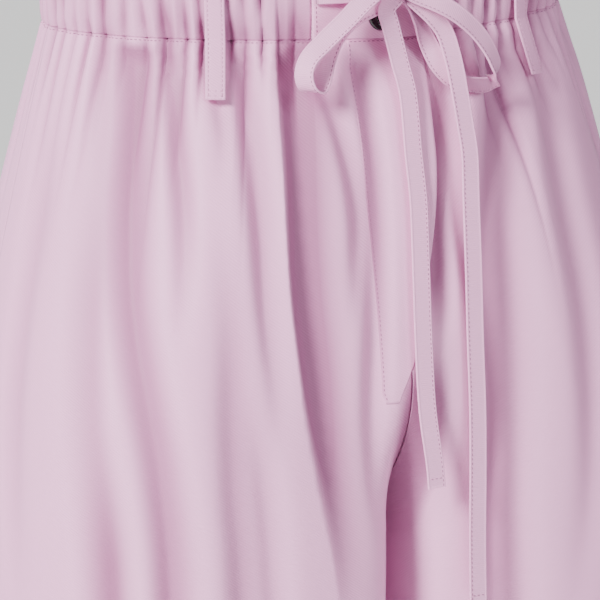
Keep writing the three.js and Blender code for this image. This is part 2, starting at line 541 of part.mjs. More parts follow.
// ---- Drawstring: a flat tape tied in a bow in front of the waistband ----
// x, y, z: the middle of the tape; wideX, wideY, wideZ: the direction across it.
const TAPE_ROUTES = {
  drawstring_strand_right: [
    { x: -36.6, y: -92.4, z: 13.5, wideX: 0, wideY: 0, wideZ: 1 },
    { x: -29, y: -94.6, z: 13.6, wideX: 0, wideY: 0, wideZ: 1 },
    { x: -19, y: -97.4, z: 13.7, wideX: 0, wideY: -0.1, wideZ: 1 },
    { x: -10, y: -100.4, z: 13.8, wideX: 0, wideY: -0.2, wideZ: 1 },
    { x: -3.8, y: -102.6, z: 13.9, wideX: 0, wideY: -0.3, wideZ: 1 },
  ],
  drawstring_strand_left: [
    { x: 37, y: -92.3, z: 15.4, wideX: 0, wideY: 0, wideZ: 1 },
    { x: 29, y: -95, z: 15.3, wideX: 0, wideY: 0, wideZ: 1 },
    { x: 20, y: -98.6, z: 15.1, wideX: 0, wideY: -0.1, wideZ: 1 },
    { x: 13.2, y: -101.6, z: 14.8, wideX: 0, wideY: -0.2, wideZ: 1 },
  ],
  drawstring_loop_right: [
    { x: -5.4, y: -109, z: 18, wideX: 0.55, wideY: -0.4, wideZ: -0.7 },
    { x: -17.5, y: -111.4, z: 11, wideX: 0.55, wideY: -0.4, wideZ: -0.7 },
    { x: -29.3, y: -111.6, z: 0.8, wideX: 0.55, wideY: -0.4, wideZ: -0.7 },
    { x: -40.8, y: -110.2, z: -9.4, wideX: 0.55, wideY: -0.4, wideZ: -0.7 },
    { x: -49.4, y: -109.6, z: -17.8, wideX: 0.65, wideY: -0.6, wideZ: -0.35 },
    { x: -51.8, y: -109.3, z: -25.4, wideX: 0.7, wideY: -0.7, wideZ: -0.1 },
    { x: -49.2, y: -108.4, z: -32, wideX: 0.7, wideY: -0.7, wideZ: -0.1 },
    { x: -43.4, y: -106.4, z: -33.4, wideX: 0.7, wideY: -0.65, wideZ: -0.1 },
    { x: -40, y: -104.8, z: -28.3, wideX: 0.8, wideY: -0.5, wideZ: -0.1 },
    { x: -36.6, y: -103.4, z: -18.5, wideX: 0.85, wideY: -0.45, wideZ: -0.2 },
    { x: -31, y: -102.6, z: -7.5, wideX: 0.75, wideY: -0.35, wideZ: -0.45 },
    { x: -20.5, y: -102.8, z: 2.2, wideX: 0.6, wideY: -0.3, wideZ: -0.65 },
    { x: -6.6, y: -103.6, z: 8.4, wideX: 0.5, wideY: -0.25, wideZ: -0.7 },
  ],
  drawstring_loop_left: [
    { x: 13.6, y: -108.8, z: 11.4, wideX: -0.3, wideY: -0.2, wideZ: -0.88 },
    { x: 21.5, y: -111, z: 7.9, wideX: -0.35, wideY: -0.2, wideZ: -0.86 },
    { x: 32.7, y: -111.6, z: 1.8, wideX: -0.4, wideY: -0.2, wideZ: -0.84 },
    { x: 45.1, y: -109.8, z: -8.2, wideX: -0.45, wideY: -0.25, wideZ: -0.8 },
    { x: 53.7, y: -108, z: -19.7, wideX: -0.5, wideY: -0.35, wideZ: -0.75 },
    { x: 56.9, y: -106, z: -28.2, wideX: -0.45, wideY: -0.4, wideZ: -0.8 },
    { x: 54.1, y: -104, z: -33.9, wideX: -0.3, wideY: 0.5, wideZ: -0.8 },
    { x: 45.3, y: -103.8, z: -34.2, wideX: -0.1, wideY: 0.65, wideZ: -0.76 },
    { x: 35.1, y: -103.8, z: -32, wideX: -0.2, wideY: 0.55, wideZ: -0.8 },
    { x: 27, y: -102.8, z: -24.2, wideX: -0.6, wideY: 0.4, wideZ: -0.7 },
    { x: 21, y: -102, z: -13, wideX: -0.75, wideY: 0.1, wideZ: -0.5 },
    { x: 16, y: -102.4, z: -1.6, wideX: -0.75, wideY: -0.45, wideZ: -0.4 },
    { x: 12.4, y: -103.4, z: 5.8, wideX: -0.75, wideY: -0.45, wideZ: -0.35 },
  ],
  drawstring_short_end: [
    { x: -4.2, y: -106.2, z: 5.6, wideX: 1, wideY: 0, wideZ: 0.25 },
    { x: -2.2, y: -105.6, z: -1.4, wideX: 1, wideY: 0, wideZ: 0.22 },
    { x: 0.6, y: -104.6, z: -10.3, wideX: 1, wideY: 0, wideZ: 0.2 },
    { x: 3.6, y: -104.2, z: -21.4, wideX: 1, wideY: 0, wideZ: 0.15 },
    { x: 6.7, y: -105.8, z: -36.2, wideX: 1, wideY: 0, wideZ: 0.05 },
    { x: 6.8, y: -110.6, z: -66.5, wideX: 1, wideY: 0, wideZ: 0 },
    { x: 7.3, y: -114, z: -89.6, wideX: 1, wideY: 0, wideZ: 0 },
    { x: 6.6, y: -116.4, z: -109.7, wideX: 1, wideY: 0, wideZ: 0 },
    { x: 6, y: -118, z: -124.6, wideX: 1, wideY: 0, wideZ: 0 },
    { x: 5.2, y: -120.6, z: -159, wideX: 1, wideY: 0, wideZ: 0 },
    { x: 6.2, y: -121.4, z: -194.5, wideX: 1, wideY: 0, wideZ: 0 },
    { x: 10, y: -120.8, z: -222.8, wideX: 1, wideY: 0, wideZ: 0.08 },
    { x: 11, y: -120.4, z: -234.2, wideX: 1, wideY: 0, wideZ: 0.08 },
  ],
  drawstring_long_end: [
    { x: 17.8, y: -106.8, z: 4.4, wideX: 0.95, wideY: 0, wideZ: 0.6 },
    { x: 21.6, y: -107, z: 0.8, wideX: 0.95, wideY: 0, wideZ: 0.5 },
    { x: 27.6, y: -106.4, z: -6.6, wideX: 0.95, wideY: 0, wideZ: 0.35 },
    { x: 31.6, y: -108, z: -21.1, wideX: 0.98, wideY: 0, wideZ: 0.15 },
    { x: 33.9, y: -109.8, z: -37.1, wideX: 1, wideY: 0.05, wideZ: 0.1 },
    { x: 36.4, y: -110.4, z: -53.9, wideX: 1, wideY: 0.05, wideZ: 0.06 },
    { x: 37.6, y: -112, z: -67.8, wideX: 1, wideY: 0.05, wideZ: 0.02 },
    { x: 36.6, y: -114.6, z: -91.4, wideX: 1, wideY: 0.05, wideZ: 0 },
    { x: 35.2, y: -118.4, z: -126.2, wideX: 1, wideY: 0.05, wideZ: 0 },
    { x: 34.2, y: -120.8, z: -161.4, wideX: 1, wideY: 0.05, wideZ: 0 },
    { x: 34.4, y: -121.4, z: -196.5, wideX: 1, wideY: 0.05, wideZ: 0 },
    { x: 34.3, y: -120.6, z: -228, wideX: 1, wideY: 0.05, wideZ: 0 },
    { x: 34, y: -119.2, z: -264, wideX: 1, wideY: 0.05, wideZ: 0 },
    { x: 34.3, y: -118, z: -296, wideX: 1, wideY: 0.05, wideZ: 0 },
  ],
};
const TAPE_STEPS = {
  drawstring_strand_right: 5,
  drawstring_strand_left: 4,
  drawstring_loop_right: 30,
  drawstring_loop_left: 30,
  drawstring_short_end: 20,
  drawstring_long_end: 24,
};

/** A flat tape swept along its route. */
function tapeGeometry(route, stepCount) {
  const curve = new THREE.CatmullRomCurve3(
    route.map(({ x, y, z }) => new THREE.Vector3(x, y, z)),
    false,
    'centripetal',
  );
  const bevel = TAPE_WALL / 2;
  const section = [
    [-TAPE_WIDTH / 2, 0],
    [bevel - TAPE_WIDTH / 2, -TAPE_WALL / 2],
    [TAPE_WIDTH / 2 - bevel, -TAPE_WALL / 2],
    [TAPE_WIDTH / 2, 0],
    [TAPE_WIDTH / 2 - bevel, TAPE_WALL / 2],
    [bevel - TAPE_WIDTH / 2, TAPE_WALL / 2],
  ];
  const positions = [];
  const triangles = [];
  for (let step = 0; step <= stepCount; step += 1) {
    const at = curve.getUtoTmapping(step / stepCount);
    const place = at * (route.length - 1);
    const row = Math.min(Math.floor(place), route.length - 2);
    const wideAt = (index) => new THREE.Vector3(route[index].wideX, route[index].wideY, route[index].wideZ);
    const wide = wideAt(row).lerp(wideAt(row + 1), place - row);
    const tangent = curve.getTangent(at);
    wide.addScaledVector(tangent, -wide.dot(tangent)).normalize();
    const face = new THREE.Vector3().crossVectors(tangent, wide);
    const centre = curve.getPoint(at);
    for (const [across, out] of section) {
      const point = centre.clone().addScaledVector(wide, across).addScaledVector(face, out);
      positions.push(point.x, point.y, point.z);
    }
  }
  const sides = section.length;
  for (let step = 0; step < stepCount; step += 1) {
    for (let side = 0; side < sides; side += 1) {
      const next = (side + 1) % sides;
      const here = step * sides;
      const there = here + sides;
      triangles.push([here + side, here + next, there + next], [here + side, there + next, there + side]);
    }
  }
  const last = stepCount * sides;
  for (let side = 1; side < sides - 1; side += 1) {
    triangles.push([0, side + 1, side], [last, last + side, last + side + 1]);
  }
  return closedGeometry(positions, triangles);
}

const KNOT = { x: 4.6, y: -106.2, z: 16, halfWidth: 7.2, halfDepth: 4.4, halfHeight: 5.4 };

function knotMesh(material) {
  const mesh = new THREE.Mesh(new THREE.SphereGeometry(1, 16, 10), material);
  mesh.scale.set(KNOT.halfWidth, KNOT.halfDepth, KNOT.halfHeight);
  mesh.position.set(KNOT.x, KNOT.y, KNOT.z);
  return mesh;
}

// ---- The whole garment ----
const CLOTH_COLOUR = 0xdcc6d8;
const materials = {
  twill: new THREE.MeshStandardMaterial({ color: CLOTH_COLOUR, roughness: 0.62, metalness: 0 }),
  tape: new THREE.MeshStandardMaterial({ color: 0xdcc2d2, roughness: 0.7, metalness: 0 }),
  button: new THREE.MeshStandardMaterial({ color: 0x141416, roughness: 0.2, metalness: 0 }),
};

const trousers = new THREE.Group();
function add(name, geometry, material) {
  const mesh = new THREE.Mesh(geometry, material);
  mesh.name = name;
  trousers.add(mesh);
}

add('front_right', panelGeometry(QUARTERS.frontRight), materials.twill);
add('front_left', panelGeometry(QUARTERS.frontLeft), materials.twill);
add('back_right', panelGeometry(QUARTERS.backRight), materials.twill);
add('back_left', panelGeometry(QUARTERS.backLeft), materials.twill);
add('waistband_elastic_right', elasticGeometry(QUARTERS.frontRight, QUARTERS.backRight), materials.twill);
add('waistband_elastic_left', elasticGeometry(QUARTERS.frontLeft, QUARTERS.backLeft), materials.twill);
add('waistband_front_right', plainBandGeometry(-FLAT_FRONT + SEAM / 2, FLY_LEFT), materials.twill);
add('waistband_front_left', plainBandGeometry(FLY_LEFT + SEAM, FLAT_FRONT - SEAM / 2), materials.twill);
add('fly', flyGeometry(), materials.twill);
for (const { name, quarter, along } of BELT_LOOPS) {
  add(name, beltLoopGeometry(QUARTERS[quarter], along), materials.twill);
}
add('belt_loop_back_middle', backLoopGeometry(), materials.twill);
for (const [name, route] of Object.entries(TAPE_ROUTES)) {
  add(name, tapeGeometry(route, TAPE_STEPS[name]), materials.tape);
}

const button = buttonMesh(materials.button);
button.name = 'button';
trousers.add(button);

const knot = knotMesh(materials.tape);
knot.name = 'drawstring_knot';
trousers.add(knot);

export default trousers;
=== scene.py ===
# Drawstring trousers: the visual model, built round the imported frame.
# Lengths in the tables below are millimetres, as a pattern cutter would write them; MM turns them
# into the scene's metres. The wearer faces -Y, the wearer's left is +X, and the origin is the
# centre of the waist at the waistband seam. A drop is a distance below that seam.
import math
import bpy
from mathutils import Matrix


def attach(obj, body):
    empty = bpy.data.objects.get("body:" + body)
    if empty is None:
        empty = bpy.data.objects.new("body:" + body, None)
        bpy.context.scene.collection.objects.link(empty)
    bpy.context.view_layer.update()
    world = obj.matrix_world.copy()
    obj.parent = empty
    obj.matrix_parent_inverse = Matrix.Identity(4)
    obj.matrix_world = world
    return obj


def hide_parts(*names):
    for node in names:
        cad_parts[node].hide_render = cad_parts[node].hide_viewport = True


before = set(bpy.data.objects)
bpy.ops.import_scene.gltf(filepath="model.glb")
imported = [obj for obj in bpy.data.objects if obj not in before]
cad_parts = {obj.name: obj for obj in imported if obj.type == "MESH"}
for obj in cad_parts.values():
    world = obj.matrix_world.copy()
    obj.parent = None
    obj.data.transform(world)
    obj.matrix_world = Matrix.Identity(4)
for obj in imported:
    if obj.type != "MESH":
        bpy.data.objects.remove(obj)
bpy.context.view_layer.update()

from types import SimpleNamespace

import bpy
import numpy as np
from mathutils import Matrix, Vector

MM = 0.001

# ---- Driving dimensions ----
SEAM = 0.3
CLOTH = 0.7
BAND_WALL = 2.0
BAND_HEIGHT = 40.0
CROTCH = 258.0
LENGTH = 1010.0
LEG_SPREAD = 0.014
INNER_ZONE = 10.0
FLAT_FRONT = 37.5
FLY_LEFT = 21.0
FLY_STITCH = 19.8
FLY_LENGTH = 190.0
LOOP_WIDTH = 10.0
LOOP_DROP = 28.5
TAPE_WIDTH = 10.0
TAPE_WALL = 0.9
CLOSED = 0.03  # half of the gap left between cloth edges that are sewn together


def table(columns, rows):
    """Rows of a short table as objects with named columns."""
    names = columns.split()
    return [SimpleNamespace(**dict(zip(names, row))) for row in rows]


# ---- The camera, at the photograph's angle and distance ----
CAMERA_AZIMUTH = math.radians(-25)
CAMERA_ELEVATION = math.radians(6)
CAMERA_ROLL = math.radians(1.4)
CAMERA_DISTANCE = 2.0
CAMERA_LENS = 240.0
SENSOR = 36.0
FRAME_PIXELS = 600
AIM = Vector((0, -93 * MM, -9.3 * MM))  # the waist seam at the middle of the front
AIM_PIXEL = (383, 38)


def make_camera():
    azimuth, elevation, roll = CAMERA_AZIMUTH, CAMERA_ELEVATION, CAMERA_ROLL
    back = Vector((math.sin(azimuth) * math.cos(elevation), -math.cos(azimuth) * math.cos(elevation),
                   math.sin(elevation)))
    level = Vector((math.cos(azimuth), math.sin(azimuth), 0))
    above = back.cross(level)
    right = math.cos(roll) * level - math.sin(roll) * above
    up = math.sin(roll) * level + math.cos(roll) * above
    metres_per_pixel = CAMERA_DISTANCE * SENSOR / CAMERA_LENS / FRAME_PIXELS
    across = (AIM_PIXEL[0] - FRAME_PIXELS / 2) * metres_per_pixel
    upward = (FRAME_PIXELS / 2 - AIM_PIXEL[1]) * metres_per_pixel
    place = AIM + back * CAMERA_DISTANCE - right * across - up * upward
    data = bpy.data.cameras.new("camera")
    data.lens = CAMERA_LENS
    data.sensor_width = SENSOR
    data.clip_end = 50
    camera = bpy.data.objects.new("camera", data)
    turn = Matrix((right, up, back)).transposed().to_4x4()
    camera.matrix_world = Matrix.Translation(place) @ turn
    bpy.context.scene.collection.objects.link(camera)
    bpy.context.scene.camera = camera


make_camera()


# ---- Mesh helpers ----
def smooth(start, end, value):
    part = np.clip((np.asarray(value, float) - start) / (end - start), 0, 1)
    return part * part * (3 - 2 * part)


def add_object(name, points, faces):
    """A smooth mesh object from points in millimetres."""
    mesh = bpy.data.meshes.new(name)
    mesh.from_pydata((np.asarray(points) * MM).tolist(), [], faces)
    mesh.validate()
    mesh.polygons.foreach_set("use_smooth", [True] * len(mesh.polygons))
    piece = bpy.data.objects.new(name, mesh)
    bpy.context.scene.collection.objects.link(piece)
    return piece


def grid_faces(rows, columns, first=0, turned=False, wrap=False):
    """Quads between the rows and columns of a grid of points."""
    across = columns if wrap else columns - 1
    row, column = np.meshgrid(np.arange(rows - 1), np.arange(across), indexing="ij")
    here = first + row * columns + column
    right = first + row * columns + (column + 1) % columns
    below, below_right = here + columns, right + columns
    order = (here, right, below_right, below) if turned else (here, below, below_right, right)
    return np.stack(order, -1).reshape(-1, 4)


def measure_cut(grid):
    """Width, length and area of the cloth that a grid of points lays out."""
    across = np.linalg.norm(np.diff(grid, axis=1), axis=2).sum(axis=1)
    down = np.linalg.norm(np.diff(grid, axis=0), axis=2).sum(axis=0)
    corners = np.cross(grid[1:, 1:] - grid[:-1, :-1], grid[1:, :-1] - grid[:-1, 1:])
    area = np.linalg.norm(corners, axis=2).sum() / 2
    return SimpleNamespace(width=across.max(), length=down.max(), area=area)


def lay_out(piece, uv, crease=None):
    """Gives each point its place on the flat cloth, in millimetres, and how much painted shade (the crease
    value) darkens it.
    """
    mesh = piece.data
    corners = np.empty(len(mesh.loops), np.int64)
    mesh.loops.foreach_get("vertex_index", corners)
    layer = mesh.uv_layers.new(name="cloth")
    layer.data.foreach_set("uv", (uv * MM)[corners].ravel())
    if crease is not None:
        # the crease value is painted shade: the cloth material darkens its colour by it
        layer = mesh.attributes.new("crease", "FLOAT", "POINT")
        layer.data.foreach_set("value", crease.astype(np.float32))


def flat_row(across, down):
    """Places on the flat cloth of a row of points at one distance down it."""
    return np.stack([across, np.full_like(across, down)], -1)


def wall(name, rows):
    """A closed wall, its faces out, from rows of outer points, inner points, flat places and painted shade
    values.
    """
    outer, inner, uv, crease = (np.array(part) for part in zip(*rows))
    measure_cut(outer)
    size = outer.shape[:2]
    count = size[0] * size[1]
    points = np.concatenate([outer.reshape(-1, 3), inner.reshape(-1, 3)])
    faces = [grid_faces(*size), grid_faces(*size, first=count, turned=True)]
    number = np.arange(count).reshape(size)
    edges = ((number[0], False), (number[-1], True), (number[:, 0], True), (number[:, -1], False))
    for edge, turned in edges:
        strip = np.stack([edge[:-1], edge[1:], edge[1:] + count, edge[:-1] + count], -1)
        faces.append(strip[:, ::-1] if turned else strip)
    faces = np.concatenate(faces)
    middle = faces[len(faces) // 4]
    a, b, c = points[middle[:3]]
    outward = points[middle[0] % count] - points[middle[0] % count + count]
    if np.dot(np.cross(b - a, c - a), outward) < 0:
        faces = faces[:, ::-1]
    piece = add_object(name, points, faces.tolist())
    lay_out(piece, np.tile(uv.reshape(-1, 2), (2, 1)), np.tile(crease.ravel(), 2))
    return piece


# ---- Materials ----
def set_values(node, **values):
    for name, value in values.items():
        node.inputs[name.replace("_", " ")].default_value = value


def new_material(name):
    material = bpy.data.materials.new(name)
    material.use_nodes = True
    return material, material.node_tree, material.node_tree.nodes["Principled BSDF"]


def add_node(tree, kind, sources=None, **values):
    """A shader node with values set and inputs led from other nodes' outputs."""
    node = tree.nodes.new("ShaderNode" + kind)
    set_values(node, **values)
    for name, output in (sources or {}).items():
        tree.links.new(output, node.inputs[name])
    return node


def add_mix(tree, factor, a, b):
    """A colour mix; a and b are colours or outputs."""
    mix = tree.nodes.new("ShaderNodeMix")
    mix.data_type = "RGBA"
    tree.links.new(factor, mix.inputs["Factor"])
    for name, value in (("A", a), ("B", b)):
        if isinstance(value, tuple):
            mix.inputs[name].default_value = value
        else:
            tree.links.new(value, mix.inputs[name])
    return mix.outputs["Result"]


def add_noise(tree, scale, detail):
    """Noise that is fixed to the object."""
    place = add_node(tree, "TexCoord")
    noise = add_node(tree, "TexNoise", {"Vector": place.outputs["Object"]}, Scale=scale, Detail=detail)
    return noise.outputs["Fac"]


WAVE_PERIOD = 0.314  # the length of one wave of a wave texture at scale 1
CLOUDS, THREADS = (14.0, 4.0), (1500.0, 2.0)  # scale and detail of the noise in the colour and the relief
PALER = 1.05  # how much paler than its main colour the cloth is in places
PAINTED_SHADE_RAMP = (1.0, 10.0, 0.92)  # painted shade: from and to which crease value, and how far towards the painted shade colour
THREAD_RELIEF = 0.3  # height of the single threads as a share of the ribs'


def make_cloth(name, light, dark, rib_pitch, rib_angle, rib_depth):
    """Woven cloth: fine ribs at an angle, soft sheen, colour that varies, and painted shade that turns it
    towards the dark colour where the crease value says.
    """
    material, tree, shader = new_material(name)
    set_values(shader, Roughness=0.55, Specular_IOR_Level=0.25, Sheen_Weight=0.2, Sheen_Roughness=0.35,
               Sheen_Tint=(0.95, 0.86, 0.95, 1))
    # painted shade: the crease attribute mixes the dark colour into the cloth's colour
    crease = add_node(tree, "Attribute")
    crease.attribute_name = "crease"
    deep = add_node(tree, "MapRange", {"Value": crease.outputs["Fac"]}, From_Min=PAINTED_SHADE_RAMP[0],
                    From_Max=PAINTED_SHADE_RAMP[1], To_Max=PAINTED_SHADE_RAMP[2])
    pale = tuple(min(1.0, value * PALER) for value in light[:3]) + (1,)
    tone = add_mix(tree, add_noise(tree, *CLOUDS), light, pale)
    tone = add_mix(tree, deep.outputs["Result"], tone, dark)
    tree.links.new(tone, shader.inputs["Base Color"])
    place = add_node(tree, "UVMap")
    place.uv_map = "cloth"
    turn = add_node(tree, "Mapping", {"Vector": place.outputs["UV"]},
                    Rotation=(0, 0, math.radians(rib_angle)))
    ribs = add_node(tree, "TexWave", {"Vector": turn.outputs["Vector"]},
                    Scale=WAVE_PERIOD / (rib_pitch * MM), Distortion=0.6, Detail=1.0)
    height = add_node(tree, "Math")
    height.operation = "MULTIPLY_ADD"
    height.inputs[1].default_value = THREAD_RELIEF
    tree.links.new(add_noise(tree, *THREADS), height.inputs[0])
    tree.links.new(ribs.outputs["Fac"], height.inputs[2])
    bump = add_node(tree, "Bump", {"Height": height.outputs["Value"]}, Strength=0.3, Distance=rib_depth * MM)
    tree.links.new(bump.outputs["Normal"], shader.inputs["Normal"])
    return material


def make_flecked(name, dark, light, grain, detail, **finish):
    """A material whose colour wanders between two tones."""
    material, tree, shader = new_material(name)
    set_values(shader, **finish)
    tree.links.new(add_mix(tree, add_noise(tree, grain, detail), dark, light), shader.inputs["Base Color"])
    return material


def make_thread(name, dark, light):
    return make_flecked(name, dark, light, 900.0, 2.0, Roughness=0.6, Sheen_Weight=0.3)


CLOTH_LIGHT = (0.82, 0.38, 0.645, 1)
# the colour of painted shade, mixed into the cloth and the tapes by their crease values
CLOTH_PAINTED_SHADE = (0.35, 0.115, 0.245, 1)
TAPE_LIGHT = (0.79, 0.37, 0.62, 1)
MATERIALS = {
    "twill": make_cloth("twill", CLOTH_LIGHT, CLOTH_PAINTED_SHADE, rib_pitch=1.15, rib_angle=58, rib_depth=0.2),
    "tape": make_cloth("tape", TAPE_LIGHT, CLOTH_PAINTED_SHADE, rib_pitch=1.0, rib_angle=90, rib_depth=0.3),
    # the thread tones are darker than the cloth's: painted shade of the needle holes the stitches sink into
    "thread": make_thread("thread", (0.30, 0.08, 0.20, 1), (0.42, 0.14, 0.30, 1)),
    "fine_thread": make_thread("fine_thread", (0.56, 0.22, 0.40, 1), (0.66, 0.30, 0.52, 1)),
    "button": make_flecked("button_plastic", (0.004, 0.004, 0.005, 1), (0.014, 0.013, 0.015, 1), 120.0, 3.0,
                           Roughness=0.12, Coat_Weight=0.6, Coat_Roughness=0.05),
}


def finish_piece(piece, nodes, material):
    """Gives a piece its finish, ties it to the body and lets it stand for its CAD nodes."""
    piece.data.materials.append(MATERIALS[material])
    if nodes:
        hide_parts(*nodes)
    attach(piece, "root")
    return piece


def cloth_piece(name, rows):
    """The cloth that stands for one CAD node."""
    return finish_piece(wall(name + "_cloth", rows), [name], "twill")


# ---- The smooth body of the garment, as in the CAD source ----
# half widths, half depths and how square each corner is, at each drop
SECTIONS = table(
    "drop outer mid front back sharp_right sharp_left sharp_back",
    [
        (0, 143, 0, 93, 90, 2.0, 2.0, 2.0),
        (40, 154, 22, 103, 101, 2.2, 2.2, 2.0),
        (90, 166, 50, 111, 114, 2.6, 2.6, 2.0),
        (140, 177, 74, 116, 124, 3.2, 3.0, 2.2),
        (185, 184, 88, 118, 127, 4.2, 3.4, 2.4),
        (225, 187, 94, 118, 125, 5.5, 3.6, 2.6),
        (258, 188, 95, 117, 121, 6.0, 3.6, 2.8),
        (320, 189, 96, 113, 115, 6.0, 3.4, 2.8),
        (450, 193, 98, 106, 108, 4.5, 3.0, 2.6),
        (620, 203, 104, 100, 104, 3.2, 2.6, 2.4),
        (820, 212, 111, 97, 104, 2.6, 2.4, 2.3),
        (1010, 219, 117, 98, 106, 2.4, 2.4, 2.3),
    ],
)
CLEFT_START = {"front": 175.0, "back": 185.0}
OUTLINE_POINTS = 240


def smooth_span(t, start, end, start_slope, end_slope):
    """The value at a share t of the way from one value to another, with given slopes at both."""
    return ((1 + 2 * t) * (1 - t) ** 2 * start + t * (1 - t) ** 2 * start_slope
            + t * t * (3 - 2 * t) * end + t * t * (t - 1) * end_slope)


def curve_through(places, heights, at):
    """The height at any place of a smooth curve through the given places and heights."""
    slopes = [(heights[i + 1] - heights[i]) / (places[i + 1] - places[i]) for i in range(len(places) - 1)]
    ends = [slopes[0]] + [(slopes[i] + slopes[i + 1]) / 2 for i in range(len(slopes) - 1)] + [slopes[-1]]
    row = int(np.clip(np.searchsorted(places, at) - 1, 0, len(places) - 2))
    span = places[row + 1] - places[row]
    part = (at - places[row]) / span
    return smooth_span(part, heights[row], heights[row + 1], span * ends[row], span * ends[row + 1])


def section_value(column, drop):
    return curve_through([row.drop for row in SECTIONS], [getattr(row, column) for row in SECTIONS], drop)


def make_quarter(name, sharp, seed):
    face, hand = name.split("_")
    return SimpleNamespace(name=name, side=-1 if hand == "right" else 1, face=face,
                           facing=-1 if face == "front" else 1, sharp=sharp, seed=seed)


FRONT_RIGHT = make_quarter("front_right", "sharp_right", 11)
FRONT_LEFT = make_quarter("front_left", "sharp_left", 23)
BACK_RIGHT = make_quarter("back_right", "sharp_back", 37)
BACK_LEFT = make_quarter("back_left", "sharp_back", 51)
QUARTERS = (FRONT_RIGHT, FRONT_LEFT, BACK_RIGHT, BACK_LEFT)
outlines = {}


def quarter_outline(quarter, drop):
    """A quarter outline at one drop: from the side seam to the middle seam or the inseam."""
    key = (quarter.name, round(float(drop), 4))
    if key in outlines:
        return outlines[key]
    level = max(float(drop), 0.0)
    outer, front, back = (section_value(column, level) for column in ("outer", "front", "back"))
    gap = SEAM / 2 + max(0.0, level - CROTCH) * LEG_SPREAD
    mid = max(gap, section_value("mid", level))
    sharp = section_value(quarter.sharp, level)
    middle_y, depth = (back - front) / 2, (front + back) / 2
    start = CLEFT_START[quarter.face]
    under = min(max((level - start) / (CROTCH - start), 0), 1)
    dip = 1 - math.sqrt(1 - under * under)
    reach = (1 - (1 - dip) ** sharp) ** (1 / sharp)
    angle = np.linspace(0, math.pi / 2, OUTLINE_POINTS + 1)
    x = mid + (outer - mid) * np.cos(angle)
    y = middle_y + quarter.facing * depth * np.sin(angle)
    part = np.linspace(0, 1, OUTLINE_POINTS + 1)[1:]
    if mid > gap and reach < 1e-3:
        x = np.append(x, mid + (gap - mid) * part)
        y = np.append(y, np.full(OUTLINE_POINTS, middle_y + quarter.facing * depth))
    elif mid > gap:
        angle = math.asin(min(1.0, reach ** (sharp / 2))) * part
        x = np.append(x, mid - (mid - gap) / reach * np.sin(angle) ** (2 / sharp))
        y = np.append(y, middle_y + quarter.facing * depth * np.maximum(np.cos(angle), 0) ** (2 / sharp))
    lengths = np.append(0, np.cumsum(np.hypot(np.diff(x), np.diff(y))))
    spaced = np.linspace(0, lengths[-1], 2 * OUTLINE_POINTS)
    even_x, even_y = np.interp(spaced, lengths, x), np.interp(spaced, lengths, y)
    run_x, run_y = np.gradient(even_x), np.gradient(even_y)
    run = np.hypot(run_x, run_y)
    outline = SimpleNamespace(
        lengths=spaced, x=even_x, y=even_y, total=lengths[-1],
        normal_x=quarter.side * quarter.facing * run_y / run, normal_y=-quarter.facing * run_x / run,
        inner_start=float(lengths[int(np.argmax(x < gap + INNER_ZONE))]),
    )
    outlines[key] = outline
    return outline


FRONT_DIP, LEFT_LIFT = 0.1, 0.06  # rise of the waist for each millimetre backwards and to the left
LEFT_LIFT_OVER, TILT_OVER = 60, 220


def waist_tilt(x, y, drop):
    """The waist is lower at the front than at the back, and a little higher on the wearer's left."""
    rise = FRONT_DIP * y + LEFT_LIFT * x * smooth(0, LEFT_LIFT_OVER, x)
    return rise * (1 - smooth(0, TILT_OVER, drop))


def body_row(quarter, along, drop, raised):
    """Points a distance raised off the smooth body, and the same points' level normals."""
    line = quarter_outline(quarter, drop)
    along = np.clip(along, 0, line.total)
    x = quarter.side * np.interp(along, line.lengths, line.x)
    y = np.interp(along, line.lengths, line.y)
    normal = np.stack([np.interp(along, line.lengths, line.normal_x),
                       np.interp(along, line.lengths, line.normal_y), np.zeros_like(along)], -1)
    normal /= np.linalg.norm(normal, axis=-1, keepdims=True)
    point = np.stack([x, y, waist_tilt(x, y, drop) - drop], -1)
    return point + normal * np.asarray(raised)[..., None], normal


def lying_row(x, drop, raised, pair=(FRONT_RIGHT, FRONT_LEFT)):
    """Points across the middle of the front or back, at signed distances from it along the cloth."""
    x = np.asarray(x, float)
    raised = np.broadcast_to(raised, x.shape)
    point, normal = np.empty((len(x), 3)), np.empty((len(x), 3))
    for quarter, chosen in ((pair[0], x < 0), (pair[1], x >= 0)):
        if chosen.any():
            total = quarter_outline(quarter, drop).total
            point[chosen], normal[chosen] = body_row(quarter, total - np.abs(x[chosen]), drop, raised[chosen])
    return point, normal
